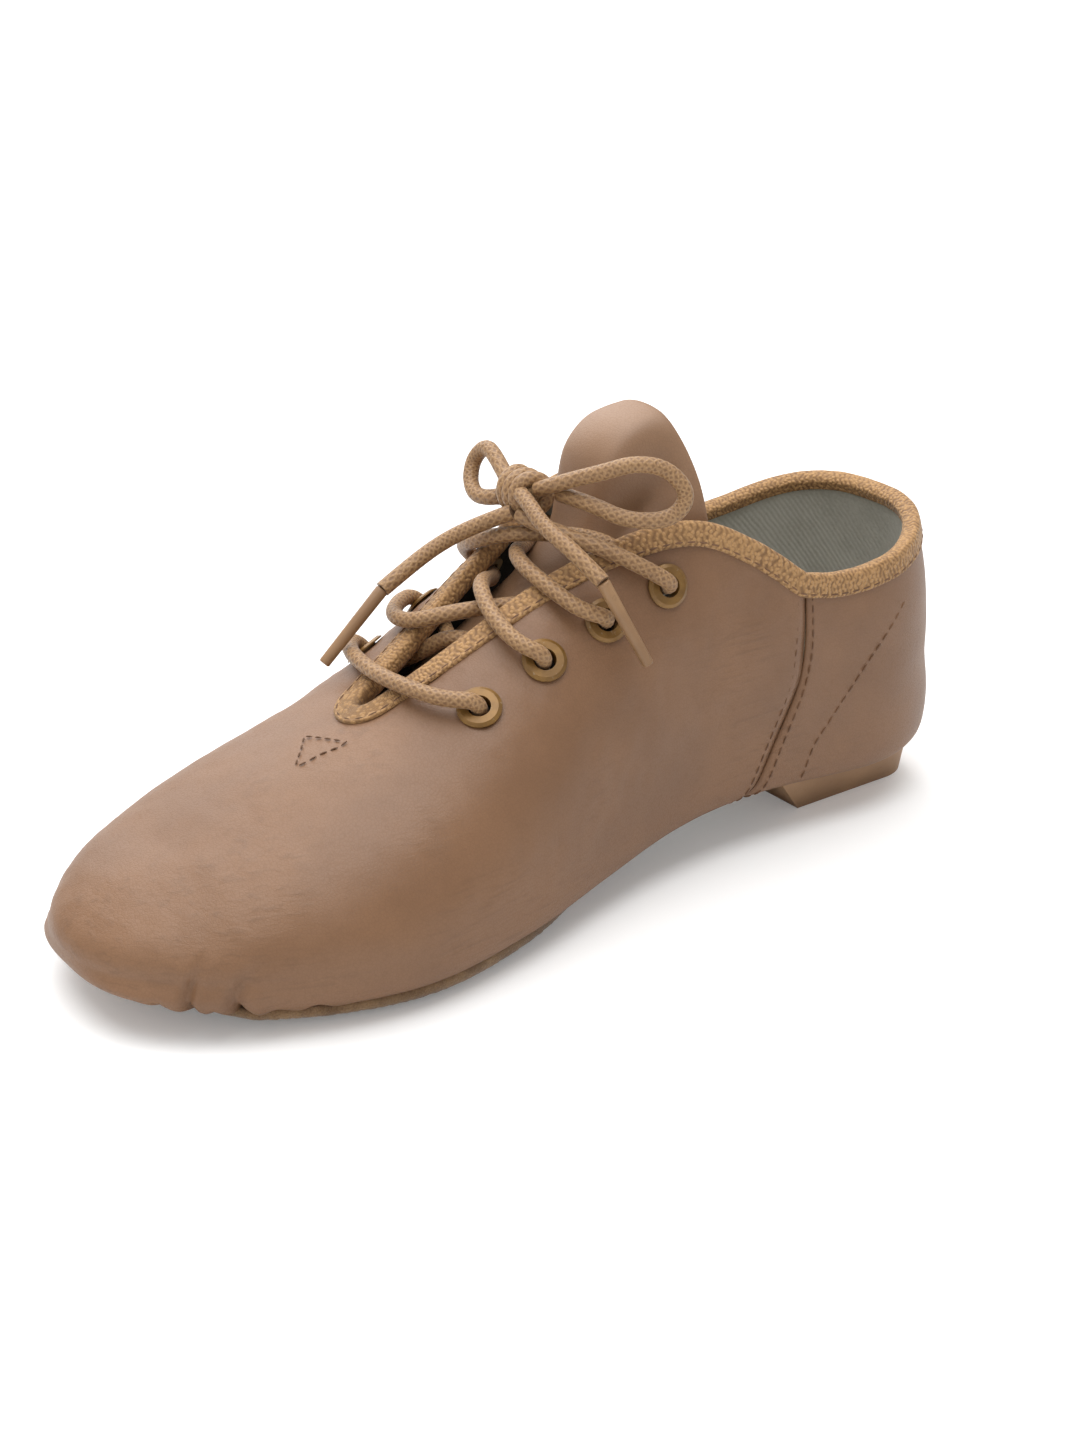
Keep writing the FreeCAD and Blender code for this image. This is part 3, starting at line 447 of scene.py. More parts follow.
def cordCurve(name, route, radius):
    data = bpy.data.curves.new(name, "CURVE")
    data.dimensions = "3D"
    spline = data.splines.new("NURBS")
    spline.points.add(len(route) - 1)
    for point, spot in zip(spline.points, route):
        point.co = (*place(spot), 1)
    spline.order_u = 3
    spline.use_endpoint_u = True
    spline.resolution_u = 10
    data.bevel_depth = radius * metre
    data.bevel_resolution = 5
    data.use_fill_caps = True
    curve = bpy.data.objects.new(name, data)
    bpy.context.collection.objects.link(curve)
    return curve


# Knot: three wraps over a rounded core
knotSetup = {
    "centre": Vector((-4.2, 107.8, 80.0)), "core": Vector((4.6, 3.0, 3.0)), "cordLength": 22.0,
    "wrapRadius": 3.3, "wrapThick": 1.6,
    "wraps": [(-6.6, 8.0), (-3.9, -6.0), (-1.2, -22.0)],  # place across and lean in degrees
}
bpy.ops.mesh.primitive_uv_sphere_add(segments=32, ring_count=20, radius=1, location=(0, 0, 0))
knot = bpy.context.object
knot.name = "bowKnot"
for vertex in knot.data.vertices:
    vertex.co = place(knotSetup["centre"] + vertex.co * knotSetup["core"])
wraps = [knot]
for across, lean in knotSetup["wraps"]:
    bpy.ops.mesh.primitive_torus_add(major_segments=48, minor_segments=14,
                                     major_radius=knotSetup["wrapRadius"],
                                     minor_radius=knotSetup["wrapThick"])
    wrap = bpy.context.object
    spin = Matrix.Rotation(math.radians(lean), 3, "Z") @ Matrix.Rotation(math.radians(90), 3, "Y")
    spot = Vector((across, knotSetup["centre"].y, knotSetup["centre"].z))
    for vertex in wrap.data.vertices:
        vertex.co = place(spot + spin @ vertex.co)
    wraps.append(wrap)
deselect()
for wrap in wraps:
    wrap.select_set(True)
bpy.context.view_layer.objects.active = knot
bpy.ops.object.join()
bpy.ops.object.shade_smooth()
knotBraid = braidFinish("knotBraid", knotSetup["cordLength"] * metre)
dress(knot, knotBraid, "forefoot", ["lace_knot"])

laces = {}
for name, route in laceRoutes.items():
    lace = cordCurve("shoe_" + name, route, laceSetup["diameter"] / 2)
    laceBraid = braidFinish("braid_" + name, laceSetup["lengths"][name] * metre)
    dress(lace, laceBraid, "forefoot", [name])
    laces[name] = lace

agletSetup = {
    "length": 19.0, "radius": 1.3, "rounding": 0.35, "taper": 0.1, "flare": 0.05,
    "tips": {"near_lace_end": (31.8, 112.8, 52.0), "far_lace_end": (-15.2, 67.9, 49.6)},
}
aglets = {}
for name, tip in agletSetup["tips"].items():
    start = Vector(laceRoutes[name][-1])
    aim = (Vector(tip) - start).normalized()
    bpy.ops.mesh.primitive_cylinder_add(vertices=24, radius=agletSetup["radius"],
                                        depth=agletSetup["length"], end_fill_type="NGON")
    aglet = bpy.context.object
    aglet.name = name.split("_")[0] + "LaceTip"
    # rounded ends
    bpy.ops.object.mode_set(mode="EDIT")
    bpy.ops.mesh.select_all(action="SELECT")
    bpy.ops.mesh.bevel(offset=agletSetup["rounding"], segments=3, affect="EDGES")
    bpy.ops.object.mode_set(mode="OBJECT")
    # narrower at the tip and a little wider where it holds the cord
    spin = aim.to_track_quat("Z", "Y").to_matrix()
    for vertex in aglet.data.vertices:
        share = vertex.co.z / agletSetup["length"] + 0.5
        squeeze = 1 - agletSetup["taper"] * share ** 4 + agletSetup["flare"] * (1 - share) ** 8
        spot = Vector((vertex.co.x * squeeze, vertex.co.y * squeeze, share * agletSetup["length"]))
        vertex.co = place(start + spin @ spot)
    bpy.ops.object.shade_smooth_by_angle(angle=math.radians(40))
    dress(aglet, "aglet", "forefoot", [name.split("_")[0] + "_aglet"])
    aglets[name] = aglet

for name, lace in laces.items():
    pieces = [knot] if name == "lacing" else [aglets[name]] if name in aglets else []
    "taut" if name == "lacing" else "loose"
print("laces made")


def smooth(low, high, x):
    t = min(max((x - low) / (high - low), 0), 1)
    return t * t * (3 - 2 * t)


# The last: the foot's form that the upper is stretched over
def slopesOf(xs, ys):
    chords = [(b - a) / (d - c) for a, b, c, d in zip(ys, ys[1:], xs, xs[1:])]
    inner = [(chords[i - 1] * (xs[i + 1] - xs[i]) + chords[i] * (xs[i] - xs[i - 1]))
             / (xs[i + 1] - xs[i - 1]) for i in range(1, len(xs) - 1)]
    return [chords[0]] + inner + [chords[-1]]


def hermite(xs, ys, slopes, x):
    if x <= xs[0]:
        return ys[0] + slopes[0] * (x - xs[0])
    if x >= xs[-1]:
        return ys[-1] + slopes[-1] * (x - xs[-1])
    i = 0
    while x > xs[i + 1]:
        i += 1
    h = xs[i + 1] - xs[i]
    t = (x - xs[i]) / h
    return (ys[i] * (1 + 2 * t) * (1 - t) ** 2 + slopes[i] * h * t * (1 - t) ** 2
            + ys[i + 1] * t * t * (3 - 2 * t) + slopes[i + 1] * h * t * t * (t - 1))


def curve(stations):
    xs = [s[0] for s in stations]
    ys = [s[1] for s in stations]
    slopes = slopesOf(xs, ys)
    return lambda x: hermite(xs, ys, slopes, x)


shoeLength = 210.0
toeCap = 44.0  # the toe is rounded off over this length
heelCap = 34.0
heelStart = shoeLength - heelCap
toePower, heelPower = 2.2, 2.3
last = {
    "lean": 3.4, "leanStart": 140.0, "leanHeight": 32.0,
    "nearHalf": curve([(0, 29), (25, 35), (55, 41.5), (80, 38.5), (105, 32), (130, 28),
                       (160, 28.5), (185, 30.5), (210, 29)]),
    "farHalf": curve([(0, 30), (25, 34.5), (55, 36), (80, 34), (105, 31), (130, 28.5), (160, 28),
                      (185, 28.5), (210, 28)]),
    "ridge": curve([(0, 25), (22, 29), (45, 37), (67, 46), (81, 54), (96, 64), (109, 73),
                    (120, 83), (130, 91), (150, 100), (210, 100)]),
    "keel": curve([(0, 6.5), (20, 3.8), (45, 2), (80, 2), (102, 3.5), (125, 7.5), (150, 9.5),
                   (175, 9), (210, 9)]),
    "widest": curve([(0, 13), (30, 13), (60, 12.5), (90, 16), (120, 24), (150, 31), (180, 33),
                     (210, 34)]),
    "feather": curve([(0, 6), (110, 6), (150, 10), (172, 14), (210, 14)]),
}


def lastValue(p):
    # below 0 inside the last, 0 on its skin
    lean = max(0.0, (p.y - last["leanStart"]) / (shoeLength - last["leanStart"])) ** 2
    y = p.y + last["lean"] * lean * (p.z / last["leanHeight"] - 1) ** 2
    station = min(max(y, 0.0), shoeLength)
    half = last["nearHalf"](station) if p.x >= 0 else last["farHalf"](station)
    middle = last["widest"](station)
    if p.z >= middle:
        height, across, upright = last["ridge"](station) - middle, 2.2, 2.1
    else:
        height, upright = middle - last["keel"](station), last["feather"](station)
        across = 2.2 + 0.8 * smooth(0.0, 1.0, (middle - p.z) / (0.6 * height))
    value = (abs(p.x) / half) ** across + (abs(p.z - middle) / height) ** upright
    if y < toeCap:
        value += ((toeCap - y) / toeCap) ** toePower
    if y > heelStart:
        value += ((y - heelStart) / heelCap) ** heelPower
    return value - 1


def lastNormal(p):
    step = 0.02
    x, y, z = Vector((step, 0, 0)), Vector((0, step, 0)), Vector((0, 0, step))
    return Vector((lastValue(p + x) - lastValue(p - x), lastValue(p + y) - lastValue(p - y),
                   lastValue(p + z) - lastValue(p - z))).normalized()


def castOut(start, direction):
    # where a ray from inside the last leaves it
    direction = direction.normalized()
    near, far = 0.0, shoeLength
    for _ in range(22):
        middle = (near + far) / 2
        if lastValue(start + direction * middle) < 0:
            near = middle
        else:
            far = middle
    return start + direction * near


def skinPoint(p):
    y = min(max(p.y, toeCap + 2), heelStart - 2)
    start = Vector((0, y, last["widest"](y)))
    return castOut(start, p - start)


def skinAt(x, y):
    return castOut(Vector((x, y, last["widest"](y) + 0.5)), Vector((0, 0, 1)))


def underside(x, y):
    return castOut(Vector((x, y, last["widest"](y) - 0.5)), Vector((0, 0, -1)))


outlinePower = 2.8


def outlinePoint(station, side, share=1.0, inset=0.0):
    # on the widest line, or inside it by a share across and an inset at the ends
    if station < toeCap:
        bend = math.radians(90) * (1 - station / toeCap)
        y = toeCap - (toeCap - inset) * math.sin(bend) ** (2 / toePower)
        across = math.cos(bend) ** (2 / outlinePower)
    elif station > heelStart:
        bend = math.radians(90) * (station - heelStart) / heelCap
        y = heelStart + (heelCap - inset * 0.5) * math.sin(bend) ** (2 / heelPower)
        across = math.cos(bend) ** (2 / outlinePower)
    else:
        y = station
        across = 1.0
    half = last["nearHalf"](y) if side > 0 else last["farHalf"](y)
    return Vector((side * half * across * share, y, 0))


margin = {"share": 0.62, "inset": 16.0}  # where the turned-in leather ends under the foot


def fanColumn(side, station, top, lean):
    # one guide from the margin over the widest line to the top edge
    middle = outlinePoint(station, side)
    middle.z = last["widest"](middle.y)
    low = outlinePoint(station - lean, side, margin["share"], margin["inset"])
    low.z = last["keel"](low.y)
    return [tuple(low), tuple(middle), (side * top[0], top[1], top[2])]


# station on the widest line, top edge, lean of the turned-in margin
frontFan = [
    (154.5, (27.3, 158.4, 61.0), 13.5), (137, (23.9, 145.5, 70.2), 9),
    (122, (20.6, 133.5, 75.6), 5), (107, (16.2, 118.5, 73.8), 2), (92, (11.2, 105.0, 67.8), 0),
    (76, (8.0, 92.0, 60.8), 0), (60, (5.1, 79.5, 53.4), 0), (44, (3.2, 71.0, 48.8), 0),
    (28, (2.2, 67.0, 46.6), 0), (14, (1.2, 65.3, 45.8), 0), (0, (0.0, 64.8, 45.5), 0)]
backFan = [
    (154.9, (27.35, 158.8, 60.8), 13.5), (165, (28.0, 167.0, 59.2), 8),
    (175, (28.2, 176.0, 59.0), 3), (185, (27.3, 185.0, 60.4), 0), (194, (22.5, 194.0, 62.8), 0),
    (202, (13.0, 202.0, 65.4), 0), (210, (0.0, 205.6, 66.6), 0)]


def bothSides(fan):
    near = [fanColumn(1, *entry) for entry in fan]
    far = [fanColumn(-1, *entry) for entry in fan[:-1]]
    return near + far[::-1]


def closer(share, squeeze):
    # spreads the columns so that they lie closer in the middle
    return share + squeeze * math.sin(2 * math.pi * share)


def skinGrid(guides, columns, rows, squeeze=0.0):
    # points and normals on the skin, spread between the guide columns
    index = list(range(len(guides)))
    heights = (0.0, 0.36, 1.0)  # margin, widest line and top edge
    lines = []
    for level in range(3):
        parts = []
        for axis in range(3):
            values = [column[level][axis] for column in guides]
            parts.append((values, slopesOf(index, values)))
        lines.append(parts)
    grid = []
    for i in range(columns + 1):
        at = closer(i / columns, squeeze) * (len(guides) - 1)
        spots = [[hermite(index, v, m, at) for v, m in parts] for parts in lines]
        column = []
        rules = []
        for axis in range(3):
            values = [spot[axis] for spot in spots]
            rules.append((values, slopesOf(heights, values)))
        for j in range(rows + 1):
            p = skinPoint(Vector([hermite(heights, v, m, j / rows) for v, m in rules]))
            column.append((p, lastNormal(p)))
        grid.append(column)
    return grid


fine = 1.0
upperSetup = {
    "frontColumns": int(360 * fine), "backColumns": int(150 * fine), "rows": int(84 * fine),
    "toeSqueeze": 0.07, "thickness": 1.2, "hole": 2.7,
}
frontGrid = skinGrid(bothSides(frontFan), upperSetup["frontColumns"], upperSetup["rows"],
                     upperSetup["toeSqueeze"])
backGrid = skinGrid(bothSides(backFan), upperSetup["backColumns"], upperSetup["rows"])
print("skin points found")


def gridPiece(name, points, outward=None):
    # a flat grid laid over the given rows of points, with its faces turned to outward
    bpy.ops.mesh.primitive_grid_add(x_subdivisions=len(points[0]) - 1, y_subdivisions=len(points) - 1,
                                    size=1)
    piece = bpy.context.object
    piece.name = name
    flat = [c for row in points for p in row for c in place(p)]
    piece.data.vertices.foreach_set("co", flat)
    piece.data.update()
    if outward is not None:
        i, j = len(points) // 2, len(points[0]) // 2
        across = points[i][j + 1] - points[i][j]
        along = points[i + 1][j] - points[i][j]
        if across.cross(along).dot(outward) < 0:
            bpy.ops.object.mode_set(mode="EDIT")
            bpy.ops.mesh.select_all(action="SELECT")
            bpy.ops.mesh.flip_normals()
            bpy.ops.object.mode_set(mode="OBJECT")
    bpy.ops.object.shade_smooth()
    return piece


eyeletPairs = [(20.4, 79.8), (21.2, 94.6), (21.8, 109.2), (22.8, 123.8)]
eyeletSpots = []
for side, word in ((1, "near"), (-1, "far")):
    for number, (x, y) in enumerate(eyeletPairs, 1):
        spot = skinAt(side * x, y)
        eyeletSpots.append(("%s_eyelet_%d" % (word, number), spot, lastNormal(spot)))


# how far the leather stands off the last, in millimetres
leatherRelief = {"seamGroove": 0.75, "seamWidth": 1.6, "pleat": 1.4, "fold": 0.3, "backFold": 0.28,
                 "pucker": 0.3, "puckerFold": 0.14}
# lengths once round each piece, for distances along it
pieceSpan = {"front": 400, "toe": 430, "back": 200}
# gathers round the toe: place along the edge, depth and how high they reach
pleats = [
    (0.464, 0.6, 9), (0.451, 0.4, 8), (0.4375, 0.9, 12), (0.42, 1.2, 21), (0.408, 0.6, 10),
    (0.397, 1.4, 19), (0.384, 0.5, 8), (0.37, 0.9, 8), (0.485, 0.5, 9), (0.508, 0.6, 9),
    (0.528, 0.7, 10), (0.546, 0.9, 12), (0.562, 0.7, 10), (0.58, 1.1, 16), (0.598, 0.8, 11),
    (0.616, 0.6, 9), (0.634, 0.8, 8),
]


def seamGroove(s, span, t):
    edge = min(s, 1 - s) * span
    groove = math.exp(-(edge / leatherRelief["seamWidth"]) ** 2)
    return -leatherRelief["seamGroove"] * groove * smooth(0.0, 0.1, t)


def toeGathers(p, s):
    # a groove for each pleat, with a soft ridge on both sides
    rise = 0.0
    low = 1 + 0.8 * (1 - smooth(3, 7.5, p.z))
    for k, (at, deep, high) in enumerate(pleats):
        waver = 1.3 * noise.noise(Vector((k, p.z * 0.16, 0))) + 0.06 * (p.z - 4)
        gap = (s - at) * pieceSpan["toe"] + waver
        gather = deep * low * (1 - smooth(high * 0.25, high, p.z)) * (1 - smooth(36, 56, p.y))
        profile = 0.3 * math.exp(-((abs(gap) - 3.0) / 1.8) ** 2) - math.exp(-(gap / 1.15) ** 2)
        rise += leatherRelief["pleat"] * gather * profile
    return rise


def frontRelief(p, s, t):
    s = closer(s, upperSetup["toeSqueeze"])
    rise = seamGroove(s, pieceSpan["front"], t)
    if p.y < 56 and p.z < 24:
        rise += toeGathers(p, s)
    wide = noise.noise(Vector((p.x * 0.05, p.y * 0.09, p.z * 0.1)))
    narrow = noise.noise(Vector((p.x * 0.16 + 9, p.y * 0.34, p.z * 0.22)))
    rise += leatherRelief["fold"] * smooth(0.25, 0.5, t) * (wide * 1.3 + narrow * 0.45)
    nearest = min((p - spot).length for _, spot, _ in eyeletSpots)
    rise -= leatherRelief["pucker"] * math.exp(-(nearest / 6.5) ** 2)
    if 3 < nearest < 16:
        ring = smooth(3, 6, nearest) * (1 - smooth(10, 16, nearest))
        rise += leatherRelief["puckerFold"] * noise.noise(p * 0.5) * ring
    return rise


def backRelief(p, s, t):
    wide = noise.noise(Vector((p.x * 0.06 + 4, p.y * 0.06, p.z * 0.09)))
    fold = leatherRelief["backFold"] * wide * smooth(0.2, 0.5, t)
    return seamGroove(s, pieceSpan["back"], t) + fold


def flatRelief(p, s, t):
    return 0.0


def reliefPoints(grid, relief, level, rows):
    # the skin points between two shares of the height, moved out by level and relief
    end = len(grid) - 1
    top = len(grid[0]) - 1
    low, high = round(rows[0] * top), round(rows[1] * top)
    return [[p + n * (level + relief(p, i / end, j / top)) for j, (p, n) in enumerate(column)
             if low <= j <= high] for i, column in enumerate(grid)]


def flex(piece):
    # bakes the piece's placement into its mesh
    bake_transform(piece)


def cutHoles(piece):
    # opens the piece under each eyelet
    pick(piece)
    bpy.ops.object.mode_set(mode="EDIT")
    bpy.ops.mesh.select_mode(type="FACE")
    bpy.ops.mesh.select_all(action="DESELECT")
    bpy.ops.object.mode_set(mode="OBJECT")
    centres = [place(spot) for _, spot, _ in eyeletSpots]
    for polygon in piece.data.polygons:
        polygon.select = any((polygon.center - centre).length < upperSetup["hole"] * metre
                             for centre in centres)
    bpy.ops.object.mode_set(mode="EDIT")
    bpy.ops.mesh.delete(type="FACE")
    bpy.ops.object.mode_set(mode="OBJECT")


def upperPiece(name, grid, relief, finish, replaced, level=0.0,
               thickness=upperSetup["thickness"], rows=(0.0, 1.0), holes=False):
    outward = grid[len(grid) // 2][len(grid[0]) // 2][1]
    piece = gridPiece(name, reliefPoints(grid, relief, level, rows), outward)
    if holes:
        cutHoles(piece)
    modify(piece, "SOLIDIFY", thickness=thickness * metre, offset=-1)
    dress(piece, finish, None, replaced)
    flex(piece)


liningSetup = {"level": -1.95, "thickness": 0.65, "vampRows": (0.08, 1.0), "heelRows": (0.3, 1.0)}
upperPiece("vampLeather", frontGrid, frontRelief, "leather", ["front_upper"],
           holes=True)
upperPiece("heelLeather", backGrid, backRelief, "leather", ["back_upper"])
upperPiece("vampLining", frontGrid, flatRelief, "vampCloth", ["front_lining"],
           liningSetup["level"], liningSetup["thickness"], liningSetup["vampRows"], True)
upperPiece("heelLining", backGrid, flatRelief, "lining", ["back_lining"],
           liningSetup["level"], liningSetup["thickness"], liningSetup["heelRows"])
print("leather and lining made")


# Binding: a knit tape folded over the throat and the collar
bindingSetup = {"thick": 0.8, "width": 4.5, "back": -2.75, "fold": 0.75, "stitchAt": 3.7,
                "stitchLevel": 0.62, "ripple": 0.1}


def edgeSpots(row):
    # once round the opening, from the middle of the heel and back to it
    front = [column[row][0] for column in frontGrid]
    back = [column[row][0] for column in backGrid]
    middle = len(back) // 2
    return back[middle:-1] + front[::-1] + back[1:middle + 1]


edgePath, belowPath = edgeSpots(-1), edgeSpots(-6)
edgeFrames = []
for i, edge in enumerate(edgePath):
    along = (edgePath[min(i + 1, len(edgePath) - 1)] - edgePath[max(i - 1, 0)]).normalized()
    normal = lastNormal(edge)
    inwards = normal.cross(along).normalized()
    if inwards.dot(belowPath[i] - edge) < 0:
        inwards = -inwards
    edgeFrames.append((edge, normal, inwards))


def bindingRow(edge, normal, inwards):
    # down the outside, over the edge in a rounded fold and down the inside
    thick, back = bindingSetup["thick"], bindingSetup["back"]
    wave = bindingSetup["ripple"] * noise.noise(edge * 0.35)
    flap = []
    for share in (1.0, 0.97, 0.8, 0.55, 0.3, 0.08):
        p = skinPoint(edge + inwards * bindingSetup["width"] * share)
        flap.append((p, lastNormal(p), share))
    row = []
    for p, n, share in flap:
        stitchDip = 1 - 0.35 * math.exp(-((share - 0.82) / 0.07) ** 2)
        row.append(p + n * (0.05 if share == 1.0 else (thick + wave) * stitchDip))
    for angle in (60, 30, 0, -30, -60):
        a = math.radians(angle)
        level = (thick + back) / 2 + (thick - back) / 2 * math.sin(a)
        row.append(edge + normal * level - inwards * (bindingSetup["fold"] * math.cos(a) + wave))
    for p, n, share in flap[::-1]:
        row.append(edge.lerp(p, 0.6) + n * (back if share == 1.0 else back - 0.5))
    return row


skyward = Vector((0, 0, 1))
tape = gridPiece("collarTape", [bindingRow(*entry) for entry in edgeFrames], skyward)
modify(tape, "SUBSURF", levels=1, render_levels=1)
dress(tape, "knit", None, ["topline_binding"])
flex(tape)
print("binding made")

# Tongue
tongueSetup = {"root": 50.0, "top": 135.5, "thick": 1.3, "rounding": 0.5, "flare": 0.08,
               "bow": 3.0, "sideSag": -4.7, "crease": 0.35}
backingSetup = {"trim": 1.5, "level": -1.5, "thick": 0.65}
tongueHalf = curve([(50, 11), (66, 15), (85, 18), (105, 20), (120, 20.5), (137, 21.5)])
tongueMiddle = curve([(50, -2.75), (58, -3.3), (70, -6.3), (106, -7.0), (113, -5.8), (118, -1.5),
                      (123, 2.4), (128, 3.3), (132, 2.1), (138, -0.4)])
tongueSide = curve([(50, -2.75), (58, -3.3), (70, -7.0), (112, -7.9), (124, -8.2), (129, -6.0),
                    (133, -3.0), (138, -0.5)])


def tonguePoints(trim, level, rows, columns):
    # trim keeps the points inside the tongue's outline, level moves them off its face
    points = []
    for i in range(rows + 1):
        at = i / rows
        y = tongueSetup["root"] + trim + (tongueSetup["top"] - tongueSetup["root"] - 2 * trim) * at
        line = []
        for j in range(columns + 1):
            across = 2 * j / columns - 1
            wide = 1 + tongueSetup["flare"] * smooth(0.8, 1.0, at) * smooth(0.2, 0.9, across)
            p = skinAt(across * wide * (tongueHalf(y) - trim),
                       y + tongueSetup["bow"] * across ** 2 * at)
            fade = smooth(0.3, 0.8, abs(across + 0.08))
            sag = tongueMiddle(y) * (1 - fade) + tongueSide(y) * fade
            sag += (min(sag, tongueSetup["sideSag"]) - sag) * across ** 6
            crease = tongueSetup["crease"] * noise.noise(p * 0.12) * smooth(0.1, 0.4, at)
            line.append(p + lastNormal(p) * (sag + level + crease))
        points.append(line)
    return points


forward = Vector((0, -0.5, 1))
tongue = gridPiece("tongueFlap", tonguePoints(0, 0, 90, 48), forward)
modify(tongue, "SOLIDIFY", thickness=tongueSetup["thick"] * metre, offset=-1)
modify(tongue, "BEVEL", width=tongueSetup["rounding"] * metre, segments=2, limit_method="ANGLE",
       angle_limit=math.radians(50))
bpy.ops.object.shade_smooth_by_angle(angle=math.radians(60))
dress(tongue, "tongueLeather", "tongue_flap", ["tongue"])
backingPoints = tonguePoints(backingSetup["trim"], backingSetup["level"], 50, 24)
backing = gridPiece("tongueBacking", backingPoints, forward)
modify(backing, "SOLIDIFY", thickness=backingSetup["thick"] * metre, offset=-1)
dress(backing, "lining", "tongue_flap", ["tongue_lining"])
print("tongue made")


# Pieces under the foot: y from start to end, and share of the last's width
footbedSetup = {"start": 10, "end": 203, "share": lambda y: 0.72, "rows": 96, "columns": 28,
                "startCurve": 12, "endCurve": 12, "level": 5.6, "thick": 1.0, "rounding": 0.3}
waistSetup = {"start": 108.5, "end": 160, "share": lambda y: 0.74, "rows": 36, "columns": 20,
              "startCurve": 0, "endCurve": 0, "level": 2.9, "thick": 0.6}
soleSetup = {"start": 9, "end": 104, "rows": 110, "columns": 48, "startCurve": 15, "endCurve": 7,
             "level": -0.15, "thick": 2.0, "tread": 0.72,
             "share": curve([(0, 0.7), (20, 0.84), (40, 0.88), (70, 0.905), (90, 0.84), (110, 0.67)])}
underPower = 2.6


def underPoints(setup):
    points = []
    for i in range(setup["rows"] + 1):
        at = i / setup["rows"]
        line = []
        for j in range(setup["columns"] + 1):
            across = 2 * j / setup["columns"] - 1
            y = setup["start"] + (setup["end"] - setup["start"]) * at
            y += setup["startCurve"] * across ** 2 * (1 - at) ** 3
            y -= setup["endCurve"] * across ** 2 * at ** 3
            half = last["nearHalf"](y) if across > 0 else last["farHalf"](y)
            if y < toeCap:
                half *= max(0.0, 1 - ((toeCap - y) / toeCap) ** toePower) ** (1 / underPower)
            if y > heelStart:
                half *= max(0.0, 1 - ((y - heelStart) / heelCap) ** heelPower) ** (1 / underPower)
            line.append(underside(across * half * setup["share"](y), y) + skyward * setup["level"])
        points.append(line)
    return points


footbed = gridPiece("footbedCloth", underPoints(footbedSetup), skyward)
modify(footbed, "SOLIDIFY", thickness=footbedSetup["thick"] * metre, offset=-1)
modify(footbed, "BEVEL", width=footbedSetup["rounding"] * metre, segments=2, limit_method="ANGLE",
       angle_limit=math.radians(50))
dress(footbed, "foam", None, ["sock_liner"])
flex(footbed)
waist = gridPiece("waistPanel", underPoints(waistSetup), -skyward)
modify(waist, "SOLIDIFY", thickness=waistSetup["thick"] * metre, offset=-1)
dress(waist, "lining", None, ["arch_panel"])
flex(waist)


# Forefoot sole: suede with a soft, slightly frayed rim
def treadPoint(p):
    # under a point of the sole's upper face, flatter than it and never below the floor
    keel = last["keel"](p.y)
    low = keel - soleSetup["thick"] + soleSetup["tread"] * (p.z - soleSetup["level"] - keel)
    return Vector((p.x, p.y, max(0.0, low)))


soleTop = underPoints(soleSetup)
soleBottom = [[treadPoint(p) for p in row] for row in soleTop]


def ringOf(rows):
    # the border of a grid, once round
    return (rows[0][:-1] + [r[-1] for r in rows[:-1]] + rows[-1][:0:-1]
            + [r[0] for r in rows[:0:-1]])


# the rim's profile: height between the faces and how far it stands out
rimProfile = ((0.97, 0.1), (0.75, 0.45), (0.5, 0.55), (0.25, 0.45), (0.06, 0.15))
rimFray = 0.22


def layeredSole(top, bottom):
    # rows from the top's middle out over the rim and in under the foot
    topRing, bottomRing = ringOf(top), ringOf(bottom)
    centre = sum(topRing, Vector()) / len(topRing)
    rows = [[centre.lerp(p, share) for p in topRing] for share in (0.6, 0.8, 0.92, 0.97)]
    for height, out in rimProfile:
        line = []
        for a, b in zip(topRing, bottomRing):
            away = Vector((a.x - centre.x, (a.y - centre.y) * 0.8, 0)).normalized()
            fray = rimFray * noise.noise(a * 1.3 + skyward * height * 4)
            line.append(b.lerp(a, height) + away * (out + fray))
        rows.append(line)
    for share in (0.97, 0.9, 0.6, 0.3):
        inner = [Vector((centre.x, centre.y + (p.y - centre.y) * share, p.z)) for p in bottomRing]
        rows.append([p.lerp(q, 1 - share) for p, q in zip(bottomRing, inner)])
    return rows


sole = layeredSole(soleTop, soleBottom)
for line in sole:
    line.append(line[0])
solePiece = gridPiece("foreSole", sole)
pick(solePiece)
bpy.ops.object.mode_set(mode="EDIT")
bpy.ops.mesh.select_all(action="SELECT")
bpy.ops.mesh.remove_doubles(threshold=0.00001)
bpy.ops.mesh.select_all(action="DESELECT")
bpy.ops.mesh.select_mode(type="EDGE")
bpy.ops.mesh.select_non_manifold(extend=False)
bpy.ops.mesh.fill_holes(sides=0)
bpy.ops.mesh.select_all(action="SELECT")
bpy.ops.mesh.normals_make_consistent(inside=False)
bpy.ops.object.mode_set(mode="OBJECT")
bpy.ops.object.shade_smooth_by_angle(angle=math.radians(60))
dress(solePiece, "suede", "forefoot", ["forefoot_sole"])
print("sole made")


# Heel block: a copy of the moulded block with softened edges
def softCopy(node, name, rounding, finish, body):
    source = bpy.data.objects[node]
    copy = source.copy()
    copy.data = source.data.copy()
    bpy.context.collection.objects.link(copy)
    copy.name = name
    copy.parent = None
    copy.matrix_world = Matrix.Identity(4)
    pick(copy)
    bpy.ops.object.mode_set(mode="EDIT")
    bpy.ops.mesh.select_all(action="SELECT")
    bpy.ops.mesh.remove_doubles(threshold=0.00001)
    bpy.ops.mesh.dissolve_limited(angle_limit=math.radians(1.0))
    bpy.ops.object.mode_set(mode="OBJECT")
    modify(copy, "BEVEL", width=rounding * metre, segments=3, limit_method="ANGLE",
           angle_limit=math.radians(35))
    bpy.ops.object.shade_smooth_by_angle(angle=math.radians(50))
    dress(copy, finish, body, [node])


heelRounding = 0.7
softCopy("heel_block", "heelMoulding", heelRounding, "heel", "rear")
print("heel made")

